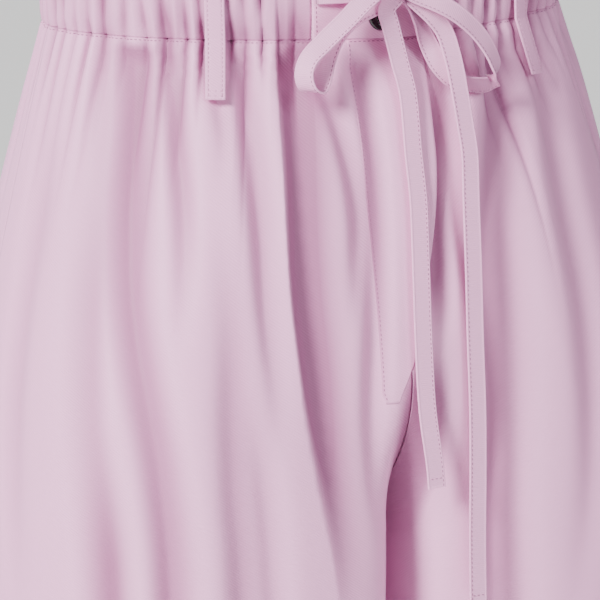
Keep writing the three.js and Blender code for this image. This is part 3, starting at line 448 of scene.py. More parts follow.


# ---- Folds ----
# path is the distance from the side seam at five even steps between begin and stop; before and after
# are the widths of the trough towards the side seam and away from it; rise is the share of the length
# over which it deepens, fade the share at which it starts to fade; a keen one starts at a sharp lip.
# shade is how much painted shade a fold gets for each millimetre of its depth
FOLD_COLUMNS = "begin stop path deep before after rise fade keen shade"
FOLDS = {  # a row for each fold
    "front_right": table(FOLD_COLUMNS, [
        (0, 340, (139, 173, 205, 224, 233), 9.5, 9, 15, 0, 0.45, 1, 1.6),
        (0, 430, (57, 89, 125, 130, 131), 10.5, 8, 13, 0.02, 0.65, 0, 0.8),
        (0, 170, (76, 94, 112, 126, 134), 6.5, 5, 7, 0, 0.35, 0, 1.1),
        (0, 80, (96, 106, 117, 125, 131), 5, 4.5, 6, 0, 0.25, 0, 0.9),
        (0, 230, (110, 139, 164, 184, 196), 8.5, 6.5, 9, 0, 0.35, 0, 0.7),
        (5, 160, (151, 180, 203, 217, 227), 6, 6, 7, 0.1, 0.5, 0, 0.8),
        (0, 270, (171, 208, 231, 242, 250), 5.5, 6.5, 7, 0.05, 0.65, 0, 0.6),
        (50, 450, (116, 157, 168, 166, 162), 5.5, 10, 12, 0.35, 0.6, 0, 1.0),
        (170, 400, (174, 183, 185, 184, 182), 4, 7, 9, 0.3, 0.5, 0, 0.6),
        (190, 460, (98, 98, 98, 96, 94), 5, 10, 12, 0.3, 0.6, 0, 0.9),
        (0, 90, (42, 48, 54, 60, 65), 3.5, 5, 7, 0, 0.3, 0, 0.8),
        (0, 460, (44, 74, 94, 96, 96), 3, 14, 9, 0.3, 0.8, 0, 1.9),
        (20, 340, (20, 28, 33, 35, 36), 4.5, 9, 11, 0.25, 0.5, 0, 0.8),
    ]),
    "front_left": table(FOLD_COLUMNS, [
        (8, 170, (168, 188, 210, 229, 243), 6, 7, 4.5, 0.3, 0.65, 0, 2.1),
        (0, 430, (113, 186, 214, 208, 202), 8.5, 17, 10, 0.05, 0.65, 0, 0.9),
        (0, 340, (80, 127, 153, 160, 161), 6, 12, 10, 0, 0.5, 0, 0.6),
        (0, 340, (38, 62, 78, 84, 86), 5, 12, 12, 0, 0.5, 0, 0.6),
        (0, 330, (150, 194, 213, 217, 214), 3.8, 9, 7, 0, 0.6, 0, 0.1),
    ]),
    "back_right": table(FOLD_COLUMNS, [
        (0, 250, (42, 52, 60, 66, 70), 6, 11, 13, 0, 0.45, 0, 0.6),
        (0, 210, (92, 108, 121, 130, 136), 5, 9, 11, 0, 0.45, 0, 0.6),
        (10, 200, (140, 161, 178, 190, 198), 5, 9, 11, 0.25, 0.45, 0, 0.6),
        (225, 520, (226, 200, 176, 161, 150), 7, 14, 16, 0.25, 0.45, 0, 0.6),
        (250, 500, (120, 109, 100, 95, 92), 6, 14, 15, 0.25, 0.45, 0, 0.6),
    ]),
    "back_left": table(FOLD_COLUMNS, [
        (0, 230, (50, 60, 69, 76, 80), 6, 11, 12, 0, 0.45, 0, 0.6),
        (0, 240, (104, 121, 134, 144, 150), 5, 9, 12, 0, 0.45, 0, 0.6),
        (10, 190, (150, 170, 187, 199, 206), 5, 9, 11, 0.25, 0.45, 0, 0.6),
        (230, 500, (222, 201, 182, 170, 160), 7, 14, 15, 0.25, 0.45, 0, 0.6),
        (260, 520, (128, 120, 112, 106, 100), 6, 14, 16, 0.25, 0.45, 0, 0.6),
    ]),
}
PATH_STEPS = [0, 0.25, 0.5, 0.75, 1]
HEM_WAVES = {  # how many waves each panel has at the hem, and how uneven they are
    "front_right": (3, 0.05), "front_left": (3, -0.06), "back_right": (3, -0.05), "back_left": (4, 0.03),
}
HEM_WAVE_DEPTH = 11.0
HEM_WAVE_START = 300.0
SEAM_PRESS, SEAM_PRESS_LENGTH = 0.3, 16  # the share of a fold left at the seam that holds it, and its reach


def trough(fold, along, drop):
    part = (drop - fold.begin) / (fold.stop - fold.begin)
    if not 0 <= part <= 1:
        return np.zeros_like(along)
    away = along - curve_through(PATH_STEPS, fold.path, part)
    width = np.where(away < 0, fold.before, fold.after)
    rise = float(smooth(0, fold.rise, part)) if fold.rise else 1.0
    strength = rise * (1 - float(smooth(fold.fade, 1, part)))
    shape = np.exp(-((away / width) ** 2))
    if fold.keen:
        shape = np.where(away < 0, np.maximum(0, 1 - (away / width) ** 2), shape)
    return fold.deep * strength * shape


def fold_shade(quarter, along, drop):
    """Painted shade in each long fold: how much darker the cloth is made, in the units of a crease's depth.
    """
    return sum(fold.shade * trough(fold, along, drop) for fold in FOLDS[quarter.name])


def fold_depth(quarter, along, drop):
    """Depth pressed in by the long folds and by the waves that open out to the hem."""
    depth = sum(trough(fold, along, drop) for fold in FOLDS[quarter.name])
    depth = depth * (SEAM_PRESS + (1 - SEAM_PRESS) * float(smooth(0, SEAM_PRESS_LENGTH, drop)))
    count, shift = HEM_WAVES[quarter.name]
    share = along / quarter_outline(quarter, drop).total
    turn = share + shift * np.sin(2 * np.pi * share)
    wave = 0.5 - 0.5 * np.cos(2 * np.pi * count * turn)
    return depth + HEM_WAVE_DEPTH * wave * float(smooth(HEM_WAVE_START, LENGTH, drop))


MIDDLE_FADE, SIDE_FADE = 12, 10  # folds and gathers die away this close to the seams


def seam_fade(quarter, along, drop):
    total = quarter_outline(quarter, drop).total
    return smooth(0, MIDDLE_FADE, total - along) * smooth(0, SIDE_FADE, along)


# ---- Gathers of the elasticated waist ----
CREASES = {  # distances from the side seam along the waist
    "front_right": (6, 14, 23, 32, 41, 53, 65, 75, 86, 94, 108, 116, 124, 132, 141),
    "front_left": (7, 16, 24, 34, 43, 52, 62, 72, 81, 92, 102, 112, 121, 131, 141),
}
BACK_CREASES = 22  # on each side of the back, at uneven distances
GATHER_DEPTH = 4.0


def random_stream(seed):
    """The same repeatable numbers from 0 to 1 as the CAD source draws."""
    state = seed
    while True:
        state = state * 16807 % 2147483647
        yield (state % 100000) / 100000


def gather_columns(quarter):
    """Ridges and troughs in turn: share of the way to the middle, depth and reach down the panel."""
    random = random_stream(quarter.seed)
    line = quarter_outline(quarter, 0)
    gathered = line.total - FLAT_FRONT if quarter.face == "front" else line.inner_start
    creases = CREASES.get(quarter.name)
    if not creases:
        pitch = gathered / BACK_CREASES
        creases = [(index + 0.3 + 0.4 * next(random)) * pitch for index in range(BACK_CREASES)]
    columns = [(0.0, 0.0, 1.0)]
    for crease, following in zip(creases, (*creases[1:], None)):
        deep = GATHER_DEPTH * (0.55 + 0.6 * next(random))
        reach = 16 + 60 * next(random) ** 1.6
        ridge = gathered if following is None else (crease + following) / 2
        columns.append((crease / line.inner_start, deep, reach))
        columns.append((ridge / line.inner_start, 0.5 * next(random), 60.0))
    return np.array(columns)


def fine_columns(quarter, per_gap, plain_steps):
    """Closer columns: between a ridge and a trough the cloth rolls over the ridge into a sharp crease."""
    columns = gather_columns(quarter)
    share, deep, reach = [], [], []
    for index in range(len(columns) - 1):
        here, there = columns[index], columns[index + 1]
        to_trough = index % 2 == 0
        ridge, crease = (here, there) if to_trough else (there, here)
        for step in range(per_gap):
            part = step / per_gap
            near = part if to_trough else 1 - part
            share.append(here[0] + (there[0] - here[0]) * part)
            deep.append(ridge[1] + (crease[1] - ridge[1]) * (0.35 * near + 0.65 * near**3))
            reach.append(crease[2])
    share.append(columns[-1][0])
    deep.append(columns[-1][1])
    reach.append(60.0)
    if quarter.face == "front":
        for step in range(1, plain_steps + 1):
            share.append(columns[-1][0] + (1 - columns[-1][0]) * step / plain_steps)
            deep.append(0.0)
            reach.append(1.0)
    return np.array(share), np.array(deep), np.array(reach)


# ---- Panels ----
PER_GAP = {"front": 6, "back": 4}  # columns of points between a ridge and a trough
PLAIN_STEPS = 30  # columns of points in the plain front
INNER_STEPS = 12  # columns of points between the legs
TURNED_IN, TURN_REACH = 0.45, 1.6  # how far the panels turn in at the waistband seam, and its reach
PUCKER_DEPTH = 0.7
PUCKER_PITCH = 5.6
PUCKER_REACH = 11
CLEFT_SHADE = 12.0
CLEFT_SOFTENS = (195, 280, 0.6)  # from, to and by how much the painted shade of the cleft between the legs is lighter below
CLEFT_REACH = {"front_right": 0, "front_left": 14, "back_right": 6, "back_left": 6}
CLEFT_DARKENS = {"front": (150, 195), "back": (190, 300)}  # the drops over which the shade comes in
# painted shade in the gathers, for each millimetre of their depth
CREASE_SHADE = 2.2
CLOSE_ROWS_TO, ROW_STEP, FAR_ROWS = 300, 2.2, 62  # rows stand close down to a drop, and then further apart


def panel_drops():
    near = np.arange(0, CLOSE_ROWS_TO, ROW_STEP)
    far = np.linspace(CLOSE_ROWS_TO, LENGTH, FAR_ROWS)
    crotch = np.array([252, 254.5, 256.5, CROTCH - 0.6, CROTCH, CROTCH + 0.6])
    drops = np.sort(np.concatenate([near, far, crotch]))
    drops = drops[np.append(True, np.diff(drops) > 0.3)]
    drops[0] = CLOSED
    return drops


COLUMNS = {quarter.name: fine_columns(quarter, PER_GAP[quarter.face], PLAIN_STEPS) for quarter in QUARTERS}


def gather_depth(quarter, along, drop):
    share, deep, reach = COLUMNS[quarter.name]
    at_column = deep * np.exp(-((drop / reach) ** 2))
    return np.interp(along, share * quarter_outline(quarter, drop).inner_start, at_column, right=0)


def puckers(quarter, along):
    """Small uneven wrinkles where the stitching draws the gathered cloth in."""
    wave = 0.5 - 0.5 * np.cos(2 * np.pi * (along / PUCKER_PITCH + 0.5 * np.sin(along / 11 + quarter.seed)))
    uneven = 0.6 + 0.4 * np.sin(along / 7.3 + 2 * quarter.seed)
    gathered = quarter_outline(quarter, 0).inner_start - (FLAT_FRONT if quarter.face == "front" else 0)
    return PUCKER_DEPTH * wave * uneven * (1 - 0.8 * smooth(gathered - 4, gathered, along))


def turned_in(drop):
    return TURNED_IN * math.exp(-drop / TURN_REACH)


def panel_depth(quarter, along, drop):
    """How far the panel's surface lies inside the smooth body: gathers, folds and puckers."""
    depth = gather_depth(quarter, along, drop) + fold_depth(quarter, along, drop)
    depth = depth + puckers(quarter, along) * math.exp(-drop / PUCKER_REACH)
    return depth * seam_fade(quarter, along, drop) + turned_in(drop)


def cleft_shade(quarter, along, drop):
    """Painted shade where the legs face each other: how much darker the cloth is made."""
    near = quarter_outline(quarter, drop).inner_start - CLEFT_REACH[quarter.name]
    shade = smooth(near, near + 10, along) * smooth(*CLEFT_DARKENS[quarter.face], drop)
    return CLEFT_SHADE * shade * (1 - CLEFT_SOFTENS[2] * smooth(*CLEFT_SOFTENS[:2], drop))


def panel(quarter):
    share = COLUMNS[quarter.name][0]
    rows = []
    for drop in panel_drops():
        line = quarter_outline(quarter, drop)
        inside = np.linspace(line.inner_start, line.total, INNER_STEPS + 1)[1:]
        last = line.total - (SEAM / 2 if drop > CLEFT_START[quarter.face] else 0)
        along = np.clip(np.concatenate([share * line.inner_start, inside]), SEAM / 2, last)
        top, normal = body_row(quarter, along, drop, -panel_depth(quarter, along, drop))
        # painted shade: the folds, the gathers and the cleft between the legs darken the cloth's colour
        crease = fold_shade(quarter, along, drop) + CREASE_SHADE * gather_depth(quarter, along, drop)
        crease += cleft_shade(quarter, along, drop)
        rows.append((top, top - normal * CLOTH, flat_row(along, drop), crease))
    return cloth_piece(quarter.name, rows)


PANELS = {quarter.name: panel(quarter) for quarter in QUARTERS}


# ---- Waistband ----
def casing_swell(height):
    """How far the casing swells out: nipped at the seam, round over the elastic, rolled at the top."""
    nipped = -0.4 * np.exp(-height / 1.5)
    rolled = -1.6 * np.exp(-(BAND_HEIGHT - height) / 1.2)
    return 0.4 * smooth(0, 6, height) * smooth(0, 5, BAND_HEIGHT - height) + nipped + rolled


BAND_HEIGHTS = (CLOSED, 0.8, 1.6, 2.6, 4, *np.linspace(6, 35, 18), 37, 38.2, 39.2, 39.7, BAND_HEIGHT)
FOLD_INTO_BAND = 16.0  # how far the folds of the panels reach up into the casing
PUCKER_IN_BAND = 0.5
# painted shade over the whole gathered casing
BAND_SHADE = 2.2
GATHER_LEAN = 11.0  # how far the gathers wander sideways between the seam and the top of the casing


def casing_gathers(quarter, per_gap):
    """Shares along the waist and a maker of each gather's depth and sideways shift at a height."""
    share, deep, _ = fine_columns(quarter, per_gap, 0)
    random = random_stream(quarter.seed + 1)
    knots = np.linspace(0, 1, 14)
    lean, phase, turns = (np.array([next(random) for _ in knots]) for _ in range(3))

    def at_height(height):
        part = height / BAND_HEIGHT
        ease = np.sin(np.pi * np.clip(share / share[-1], 0, 1))
        shift = GATHER_LEAN * (np.interp(share, knots, lean) - 0.1) * part * ease
        turn = np.interp(share, knots, phase) + part * (0.5 + np.interp(share, knots, turns))
        return shift, deep * (0.8 + 0.3 * np.sin(2 * np.pi * turn) * smooth(0, 8, height))

    return share, at_height


def elastic_half(front, back):
    """Half of the gathered casing, from the plain front round the side to the middle of the back."""
    share_front, front_at = casing_gathers(front, PER_GAP["front"])
    share_back, back_at = casing_gathers(back, PER_GAP["back"])
    front_line, back_line = quarter_outline(front, 0), quarter_outline(back, 0)
    last = front_line.total - FLAT_FRONT - SEAM / 2
    rows = []
    for height in BAND_HEIGHTS:
        eased = math.exp(-((height / FOLD_INTO_BAND) ** 2))
        small = PUCKER_IN_BAND + (1 - PUCKER_IN_BAND) * math.exp(-height / 6)
        shift_front, deep_front = front_at(height)
        shift_back, deep_back = back_at(height)
        along_front = np.clip(share_front * front_line.inner_start - shift_front, 0, last)
        along_back = np.append(share_back * back_line.inner_start + shift_back, back_line.total)
        halves = []
        for quarter, along, deep, order, sign in (
                (front, along_front, deep_front, slice(None, None, -1), -1),
                (back, along_back, np.append(deep_back, 0), slice(1, None), 1)):
            deep = (deep + fold_depth(quarter, along, 0) * eased + puckers(quarter, along) * small)[order]
            along = along[order]
            top, normal = body_row(quarter, along, -height, casing_swell(height) - deep)
            # painted shade of the casing and its gathers
            halves.append((top, top - normal * BAND_WALL, flat_row(sign * along, -height),
                           BAND_SHADE + CREASE_SHADE * deep))
        rows.append([np.concatenate(part) for part in zip(*halves)])
    return cloth_piece("waistband_elastic_" + ("right" if front.side < 0 else "left"), rows)


def plain_band(name, start, end, columns=60):
    """A plain stretch of waistband between two distances from the middle of the front."""
    x = np.linspace(start, end, columns)
    rounded = 0.5 * (np.exp(-(x - start) / 0.6) + np.exp(-(end - x) / 0.6))
    rows = []
    for height in BAND_HEIGHTS:
        swell = np.clip(casing_swell(height), -0.15 if height < BAND_HEIGHT / 2 else None, 0.4)
        top, normal = lying_row(x, -height, swell - rounded)
        rows.append((top, top - normal * BAND_WALL, flat_row(x, -height), np.zeros(columns)))
    return cloth_piece(name, rows)


BANDS = [
    elastic_half(FRONT_RIGHT, BACK_RIGHT),
    elastic_half(FRONT_LEFT, BACK_LEFT),
    plain_band("waistband_front_right", SEAM / 2 - FLAT_FRONT, FLY_LEFT),
    plain_band("waistband_front_left", FLY_LEFT + SEAM, FLAT_FRONT - SEAM / 2, columns=24),
]


# ---- Fly ----
FLY_CLEAR = 0.3
FLY_CLOTH = 1.0
FLY_PUFF = 0.3
FLY_LIES, FLY_STANDS = 12, 28  # from its sewn edge, where the fly stops lying on the panel and stands off it
FLY_ROWS, FLY_COLUMNS = 120, 48
# painted shade where the fly lies sunk, for each millimetre
FLY_SHADE = 1.6
# where each edge is drawn in: by how much, and between which drops
FLY_STITCH_RUN = (4.5, -30, 150)
FLY_STITCH_CORNER = (2, 183, 191)
FLY_FOLD_RUN = (22, 55, 200)
FLY_FOLD_CORNER = (6.5, 165, 194)


def fly_edges(drop):
    """Signed distances of the fly's sewn edge and folded edge from the middle seam."""
    def drawn_in(*runs):
        return sum(run[0] * float(smooth(run[1], run[2], drop)) for run in runs)
    return (-FLY_STITCH + drawn_in(FLY_STITCH_RUN, FLY_STITCH_CORNER),
            FLY_LEFT - drawn_in(FLY_FOLD_RUN, FLY_FOLD_CORNER))


def fly_height(x, drop):
    """Height of the fly off the smooth body: level with the panel where it is sewn, proud at its fold."""
    right, left = fly_edges(drop)
    x = np.asarray(x, float)
    total = quarter_outline(FRONT_RIGHT, drop).total
    sunk = panel_depth(FRONT_RIGHT, total - np.abs(np.minimum(x, 0)), drop)
    free = smooth(right + FLY_LIES, right + FLY_STANDS, x)
    folded = 0.6 * np.exp(-(left - x) / 0.8)
    bulge = np.sin(math.pi * np.clip((x - right) / (left - right), 0, 1)) * (1 + 0.5 * math.sin(drop / 17))
    raised = FLY_CLEAR + FLY_CLOTH + FLY_PUFF * bulge - folded
    ends = smooth(0, 5, FLY_LENGTH - drop) * smooth(0, 14, drop)
    return 0.12 - sunk * (1 - free) + raised * free * ends - 0.6 * turned_in(drop) * free


def make_fly():
    rows = []
    for drop in np.linspace(SEAM / 2, FLY_LENGTH, FLY_ROWS):
        x = np.linspace(*fly_edges(drop), FLY_COLUMNS)
        raised = fly_height(x, drop)
        back = np.minimum(raised - 0.1, FLY_CLEAR * 0.5)
        # painted shade where the fly is sunk
        rows.append((lying_row(x, drop, raised)[0], lying_row(x, drop, back)[0], flat_row(x, drop),
                     FLY_SHADE * np.maximum(0, -raised)))
    return cloth_piece("fly", rows)


FLY = make_fly()


# ---- Belt loops ----
BELT_LOOPS = table("name quarter along", [
    ("belt_loop_front_right", FRONT_RIGHT, 100),
    ("belt_loop_front_left", FRONT_LEFT, 97),
    ("belt_loop_back_right", BACK_RIGHT, 62),
    ("belt_loop_back_left", BACK_LEFT, 62),
    ("belt_loop_back_middle", None, 0),
])
LOOP_START = 2 - BAND_HEIGHT
LOOP_CLEAR = 0.8
LOOP_ARCH = 0.7
LOOP_CLOTH = 1.2
# painted shade over the whole belt loop
LOOP_SHADE = 2.4
LOOP_LEAN = 0.345  # how fast a loop below the seam moves away from the side seam
LOOP_STITCH_INSET = 1.6
LOOP_ROWS, LOOP_COLUMNS = 60, 26


def loop_row(loop, across, drop, raised):
    """Points across a belt loop, and their level normals."""
    if loop.quarter is None:
        return lying_row(across, drop, raised, pair=(BACK_RIGHT, BACK_LEFT))
    return body_row(loop.quarter, loop.along + LOOP_LEAN * max(0, drop) + across, drop, raised)


def loop_height(drop):
    return LOOP_CLEAR + LOOP_ARCH * math.sin(math.pi * (drop - LOOP_START) / (LOOP_DROP - LOOP_START))


def make_belt_loop(loop):
    across = np.linspace(-LOOP_WIDTH / 2, LOOP_WIDTH / 2, LOOP_COLUMNS)
    edge = LOOP_WIDTH / 2 - np.abs(across)
    groove = np.exp(-(((edge - LOOP_STITCH_INSET) / 0.45) ** 2))
    rounded = 0.45 * np.exp(-edge / 0.5) + 0.22 * groove
    rows = []
    for drop in np.linspace(LOOP_START, LOOP_DROP, LOOP_ROWS):
        back = np.full_like(across, loop_height(drop))
        rows.append((loop_row(loop, across, drop, back + LOOP_CLOTH - rounded)[0],
                     loop_row(loop, across, drop, back)[0],
                     flat_row(across, drop), np.full_like(across, LOOP_SHADE)))
    return cloth_piece(loop.name, rows)


LOOPS = [make_belt_loop(loop) for loop in BELT_LOOPS]


# ---- Drawstring ----
ROUTE_COLUMNS = "x y z wide_x wide_y wide_z"
TAPE_ROUTES = {
    "drawstring_strand_right": table(ROUTE_COLUMNS, [
        (-36.6, -92.4, 13.5, 0, 0, 1),
        (-29, -94.6, 13.6, 0, 0, 1),
        (-19, -97.4, 13.7, 0, -0.1, 1),
        (-10, -100.4, 13.8, 0, -0.2, 1),
        (-3.8, -102.6, 13.9, 0, -0.3, 1),
    ]),
    "drawstring_strand_left": table(ROUTE_COLUMNS, [
        (37, -92.3, 15.4, 0, 0, 1),
        (29, -95, 15.3, 0, 0, 1),
        (20, -98.6, 15.1, 0, -0.1, 1),
        (13.2, -101.6, 14.8, 0, -0.2, 1),
    ]),
    "drawstring_loop_right": table(ROUTE_COLUMNS, [
        (-5.4, -109, 18, 0.55, -0.4, -0.7),
        (-17.5, -111.4, 11, 0.55, -0.4, -0.7),
        (-29.3, -111.6, 0.8, 0.55, -0.4, -0.7),
        (-40.8, -110.2, -9.4, 0.55, -0.4, -0.7),
        (-49.4, -109.6, -17.8, 0.65, -0.6, -0.35),
        (-51.8, -109.3, -25.4, 0.7, -0.7, -0.1),
        (-49.2, -108.4, -32, 0.7, -0.7, -0.1),
        (-43.4, -106.4, -33.4, 0.7, -0.65, -0.1),
        (-40, -104.8, -28.3, 0.8, -0.5, -0.1),
        (-36.6, -103.4, -18.5, 0.85, -0.45, -0.2),
        (-31, -102.6, -7.5, 0.75, -0.35, -0.45),
        (-20.5, -102.8, 2.2, 0.6, -0.3, -0.65),
        (-6.6, -103.6, 8.4, 0.5, -0.25, -0.7),
    ]),
    "drawstring_loop_left": table(ROUTE_COLUMNS, [
        (13.6, -108.8, 11.4, -0.3, -0.2, -0.88),
        (21.5, -111, 7.9, -0.35, -0.2, -0.86),
        (32.7, -111.6, 1.8, -0.4, -0.2, -0.84),
        (45.1, -109.8, -8.2, -0.45, -0.25, -0.8),
        (53.7, -108, -19.7, -0.5, -0.35, -0.75),
        (56.9, -106, -28.2, -0.45, -0.4, -0.8),
        (54.1, -104, -33.9, -0.3, 0.5, -0.8),
        (45.3, -103.8, -34.2, -0.1, 0.65, -0.76),
        (35.1, -103.8, -32, -0.2, 0.55, -0.8),
        (27, -102.8, -24.2, -0.6, 0.4, -0.7),
        (21, -102, -13, -0.75, 0.1, -0.5),
        (16, -102.4, -1.6, -0.75, -0.45, -0.4),
        (12.4, -103.4, 5.8, -0.75, -0.45, -0.35),
    ]),
    "drawstring_short_end": table(ROUTE_COLUMNS, [
        (-4.2, -106.2, 5.6, 1, 0, 0.25),
        (-2.2, -105.6, -1.4, 1, 0, 0.22),
        (0.6, -104.6, -10.3, 1, 0, 0.2),
        (3.6, -104.2, -21.4, 1, 0, 0.15),
        (6.7, -105.8, -36.2, 1, 0, 0.05),
        (6.8, -110.6, -66.5, 1, 0, 0),
        (7.3, -114, -89.6, 1, 0, 0),
        (6.6, -116.4, -109.7, 1, 0, 0),
        (6, -118, -124.6, 1, 0, 0),
        (5.2, -120.6, -159, 1, 0, 0),
        (6.2, -121.4, -194.5, 1, 0, 0),
        (10, -120.8, -222.8, 1, 0, 0.08),
        (11, -120.4, -234.2, 1, 0, 0.08),
    ]),
    "drawstring_long_end": table(ROUTE_COLUMNS, [
        (17.8, -106.8, 4.4, 0.95, 0, 0.6),
        (21.6, -107, 0.8, 0.95, 0, 0.5),
        (27.6, -106.4, -6.6, 0.95, 0, 0.35),
        (31.6, -108, -21.1, 0.98, 0, 0.15),
        (33.9, -109.8, -37.1, 1, 0.05, 0.1),
        (36.4, -110.4, -53.9, 1, 0.05, 0.06),
        (37.6, -112, -67.8, 1, 0.05, 0.02),
        (36.6, -114.6, -91.4, 1, 0.05, 0),
        (35.2, -118.4, -126.2, 1, 0.05, 0),
        (34.2, -120.8, -161.4, 1, 0.05, 0),
        (34.4, -121.4, -196.5, 1, 0.05, 0),
        (34.3, -120.6, -228, 1, 0.05, 0),
        (34, -119.2, -264, 1, 0.05, 0),
        (34.3, -118, -296, 1, 0.05, 0),
    ]),
}
STEP = 1.6  # spacing of the rings along a tape
KNOT_CENTRE = np.array([4.6, -106.2, 16.0])
KNOT_HALF = np.array([7.6, 4.6, 5.4])
STRETCHES = table("name knot_ends stitch_edge", [
    ("drawstring_strand_right", 0, 1),
    ("drawstring_strand_left", 0, -1),
    ("drawstring_loop_right", 2, 1),
    ("drawstring_loop_left", 2, 1),
    ("drawstring_short_end", 1, 1),
    ("drawstring_long_end", 1, -1),
])
# painted shade on the tapes: next to the knot, and where the left loop turns under
KNOT_SHADE, KNOT_SHADE_REACH = 4.5, 16
TURN_SHADE = 6.5
TURNS_UNDER = ((0.42, 0.48), (0.6, 0.66), (0.76, 0.84))  # shares of the left loop where it is hidden or shown
TUCK = 0.6  # how far towards the middle of the knot a tape's end is led on


def follow_route(route):
    """Centres, tangents and across directions along a centripetal curve through the route's points."""
    points = np.array([(row.x, row.y, row.z) for row in route])
    wides = np.array([(row.wide_x, row.wide_y, row.wide_z) for row in route], float)
    padded = np.concatenate([[2 * points[0] - points[1]], points, [2 * points[-1] - points[-2]]])
    centres, across = [], []
    for span in range(len(points) - 1):
        p0, p1, p2, p3 = padded[span:span + 4]
        gaps = [max(np.linalg.norm(b - a) ** 0.5, 1e-4) for a, b in ((p0, p1), (p1, p2), (p2, p3))]
        start = ((p1 - p0) / gaps[0] - (p2 - p0) / (gaps[0] + gaps[1]) + (p2 - p1) / gaps[1]) * gaps[1]
        stop = ((p2 - p1) / gaps[1] - (p3 - p1) / (gaps[1] + gaps[2]) + (p3 - p2) / gaps[2]) * gaps[1]
        for t in np.linspace(0, 1, 40, endpoint=span == len(points) - 2):
            centres.append(smooth_span(t, p1, p2, start, stop))
            across.append(wides[span] * (1 - t) + wides[span + 1] * t)
    centres, across = np.array(centres), np.array(across)
    lengths = np.append(0, np.cumsum(np.linalg.norm(np.diff(centres, axis=0), axis=1)))
    places = np.linspace(0, lengths[-1], max(8, round(lengths[-1] / STEP)))
    centres = np.stack([np.interp(places, lengths, centres[:, k]) for k in range(3)], -1)
    across = np.stack([np.interp(places, lengths, across[:, k]) for k in range(3)], -1)
    tangents = np.gradient(centres, axis=0)
    tangents /= np.linalg.norm(tangents, axis=1, keepdims=True)
    across -= tangents * np.sum(across * tangents, axis=1, keepdims=True)
    across /= np.linalg.norm(across, axis=1, keepdims=True)
    return places, centres, tangents, across


def tape_section():
    """Half the tape's outline: across and out, with a thin raised hem along each edge."""
    across = np.sin(np.linspace(-math.pi / 2, math.pi / 2, 25))
    edge = 1 - np.abs(across)
    out = TAPE_WALL / 2 * np.clip(edge / 0.06, 0, 1) ** 0.5
    out = out * (1 + 0.5 * np.exp(-(((edge - 0.12) / 0.07) ** 2)))
    return across * TAPE_WIDTH / 2, out


def tuck(route, ends):
    """The route with its knot ends led on into the knot; ends is how many of them it has."""
    def towards_knot(row):
        point = np.array([row.x, row.y, row.z]) + TUCK * (KNOT_CENTRE - (row.x, row.y, row.z))
        return SimpleNamespace(x=point[0], y=point[1], z=point[2],
                               wide_x=row.wide_x, wide_y=row.wide_y, wide_z=row.wide_z)
    return [towards_knot(route[0]), *route] + ([towards_knot(route[-1])] if ends == 2 else [])


def tape_shade(name, places, centres):
    """Painted shade: darker next to the knot that covers it, and where the bow's left loop turns back under
    itself.
    """
    away = np.linalg.norm(centres - KNOT_CENTRE, axis=1)
    shade = KNOT_SHADE * np.exp(-((away / KNOT_SHADE_REACH) ** 2))
    if name == "drawstring_loop_left":
        share = places / places[-1]
        under, out, under_again = (smooth(*span, share) for span in TURNS_UNDER)
        shade += TURN_SHADE * (under * (1 - out) + under_again)
    return shade


def make_tape(name, knot_ends):
    """One flat tape, with its rings' centres and directions."""
    route = TAPE_ROUTES[name]
    if knot_ends:
        route = tuck(route, knot_ends)
    places, centres, tangents, across = follow_route(route)
    faces_out = np.cross(tangents, across)
    side, out = tape_section()
    front_side = np.concatenate([side, side[-2:0:-1]])
    front_out = np.concatenate([out, -out[-2:0:-1]])
    rings = (centres[:, None, :] + across[:, None, :] * front_side[None, :, None]
             + faces_out[:, None, :] * front_out[None, :, None])
    count = len(front_side)
    faces = grid_faces(len(places), count, turned=True, wrap=True).tolist()
    last = (len(places) - 1) * count
    for start, turned in ((0, False), (last, True)):
        for k in range(len(side) - 1):
            a, b = start + k, start + k + 1
            c, d = start + (count - k - 1) % count, start + (count - k) % count
            corners = list(dict.fromkeys([a, b, c, d]))
            faces.append(corners[::-1] if turned else corners)
    piece = add_object(name + "_tape", rings.reshape(-1, 3), faces)
    uv = np.stack([np.tile(front_side, len(places)), np.repeat(places, count)], -1)
    lay_out(piece, uv, np.repeat(tape_shade(name, places, centres), count))
    finish_piece(piece, [name], "tape")
    return SimpleNamespace(piece=piece, length=places[-1], centres=centres, across=across,
                           faces_out=faces_out)


TAPES = {row.name: make_tape(row.name, row.knot_ends) for row in STRETCHES}


# ---- Knot ----
KNOT_WRAPS = 3
KNOT_ROWS, KNOT_COLUMNS = 40, 64


def make_knot():
    """The tape wound tight round itself: a flattened ball with the edges of its turns showing."""
    polar = np.linspace(0.02, math.pi - 0.02, KNOT_ROWS)[:, None]
    turn = np.linspace(0, 2 * math.pi, KNOT_COLUMNS, endpoint=False)[None, :]
    ball = np.stack([np.cos(polar) * np.ones_like(turn), np.sin(polar) * np.sin(turn),
                     np.sin(polar) * np.cos(turn)], -1)
    slant = 0.5 + 0.5 * KNOT_WRAPS * (ball[..., 0] * 0.8 + 0.35 * ball[..., 2])
    lap = slant - np.floor(slant)
    swell = 0.93 + 0.09 * smooth(0, 0.18, lap) * (1 - 0.5 * lap)
    points = KNOT_CENTRE + ball * swell[..., None] * KNOT_HALF
    ends = np.array([KNOT_CENTRE + (KNOT_HALF[0] * 0.93, 0, 0), KNOT_CENTRE - (KNOT_HALF[0] * 0.93, 0, 0)])
    faces = grid_faces(KNOT_ROWS, KNOT_COLUMNS, wrap=True).tolist()
    first, last = KNOT_ROWS * KNOT_COLUMNS, KNOT_ROWS * KNOT_COLUMNS + 1
    below = (KNOT_ROWS - 1) * KNOT_COLUMNS
    for column in range(KNOT_COLUMNS):
        following = (column + 1) % KNOT_COLUMNS
        faces.append([first, column, following])
        faces.append([last, below + following, below + column])
    piece = add_object("drawstring_knot_tape", np.concatenate([points.reshape(-1, 3), ends]), faces)
    flat = np.stack([np.broadcast_to(turn * 5, slant.shape), slant * 6], -1).reshape(-1, 2)
    lay_out(piece, np.concatenate([flat, [(0, 0), (0, 6)]]))
    return finish_piece(piece, ["drawstring_knot"], "tape")


KNOT = make_knot()


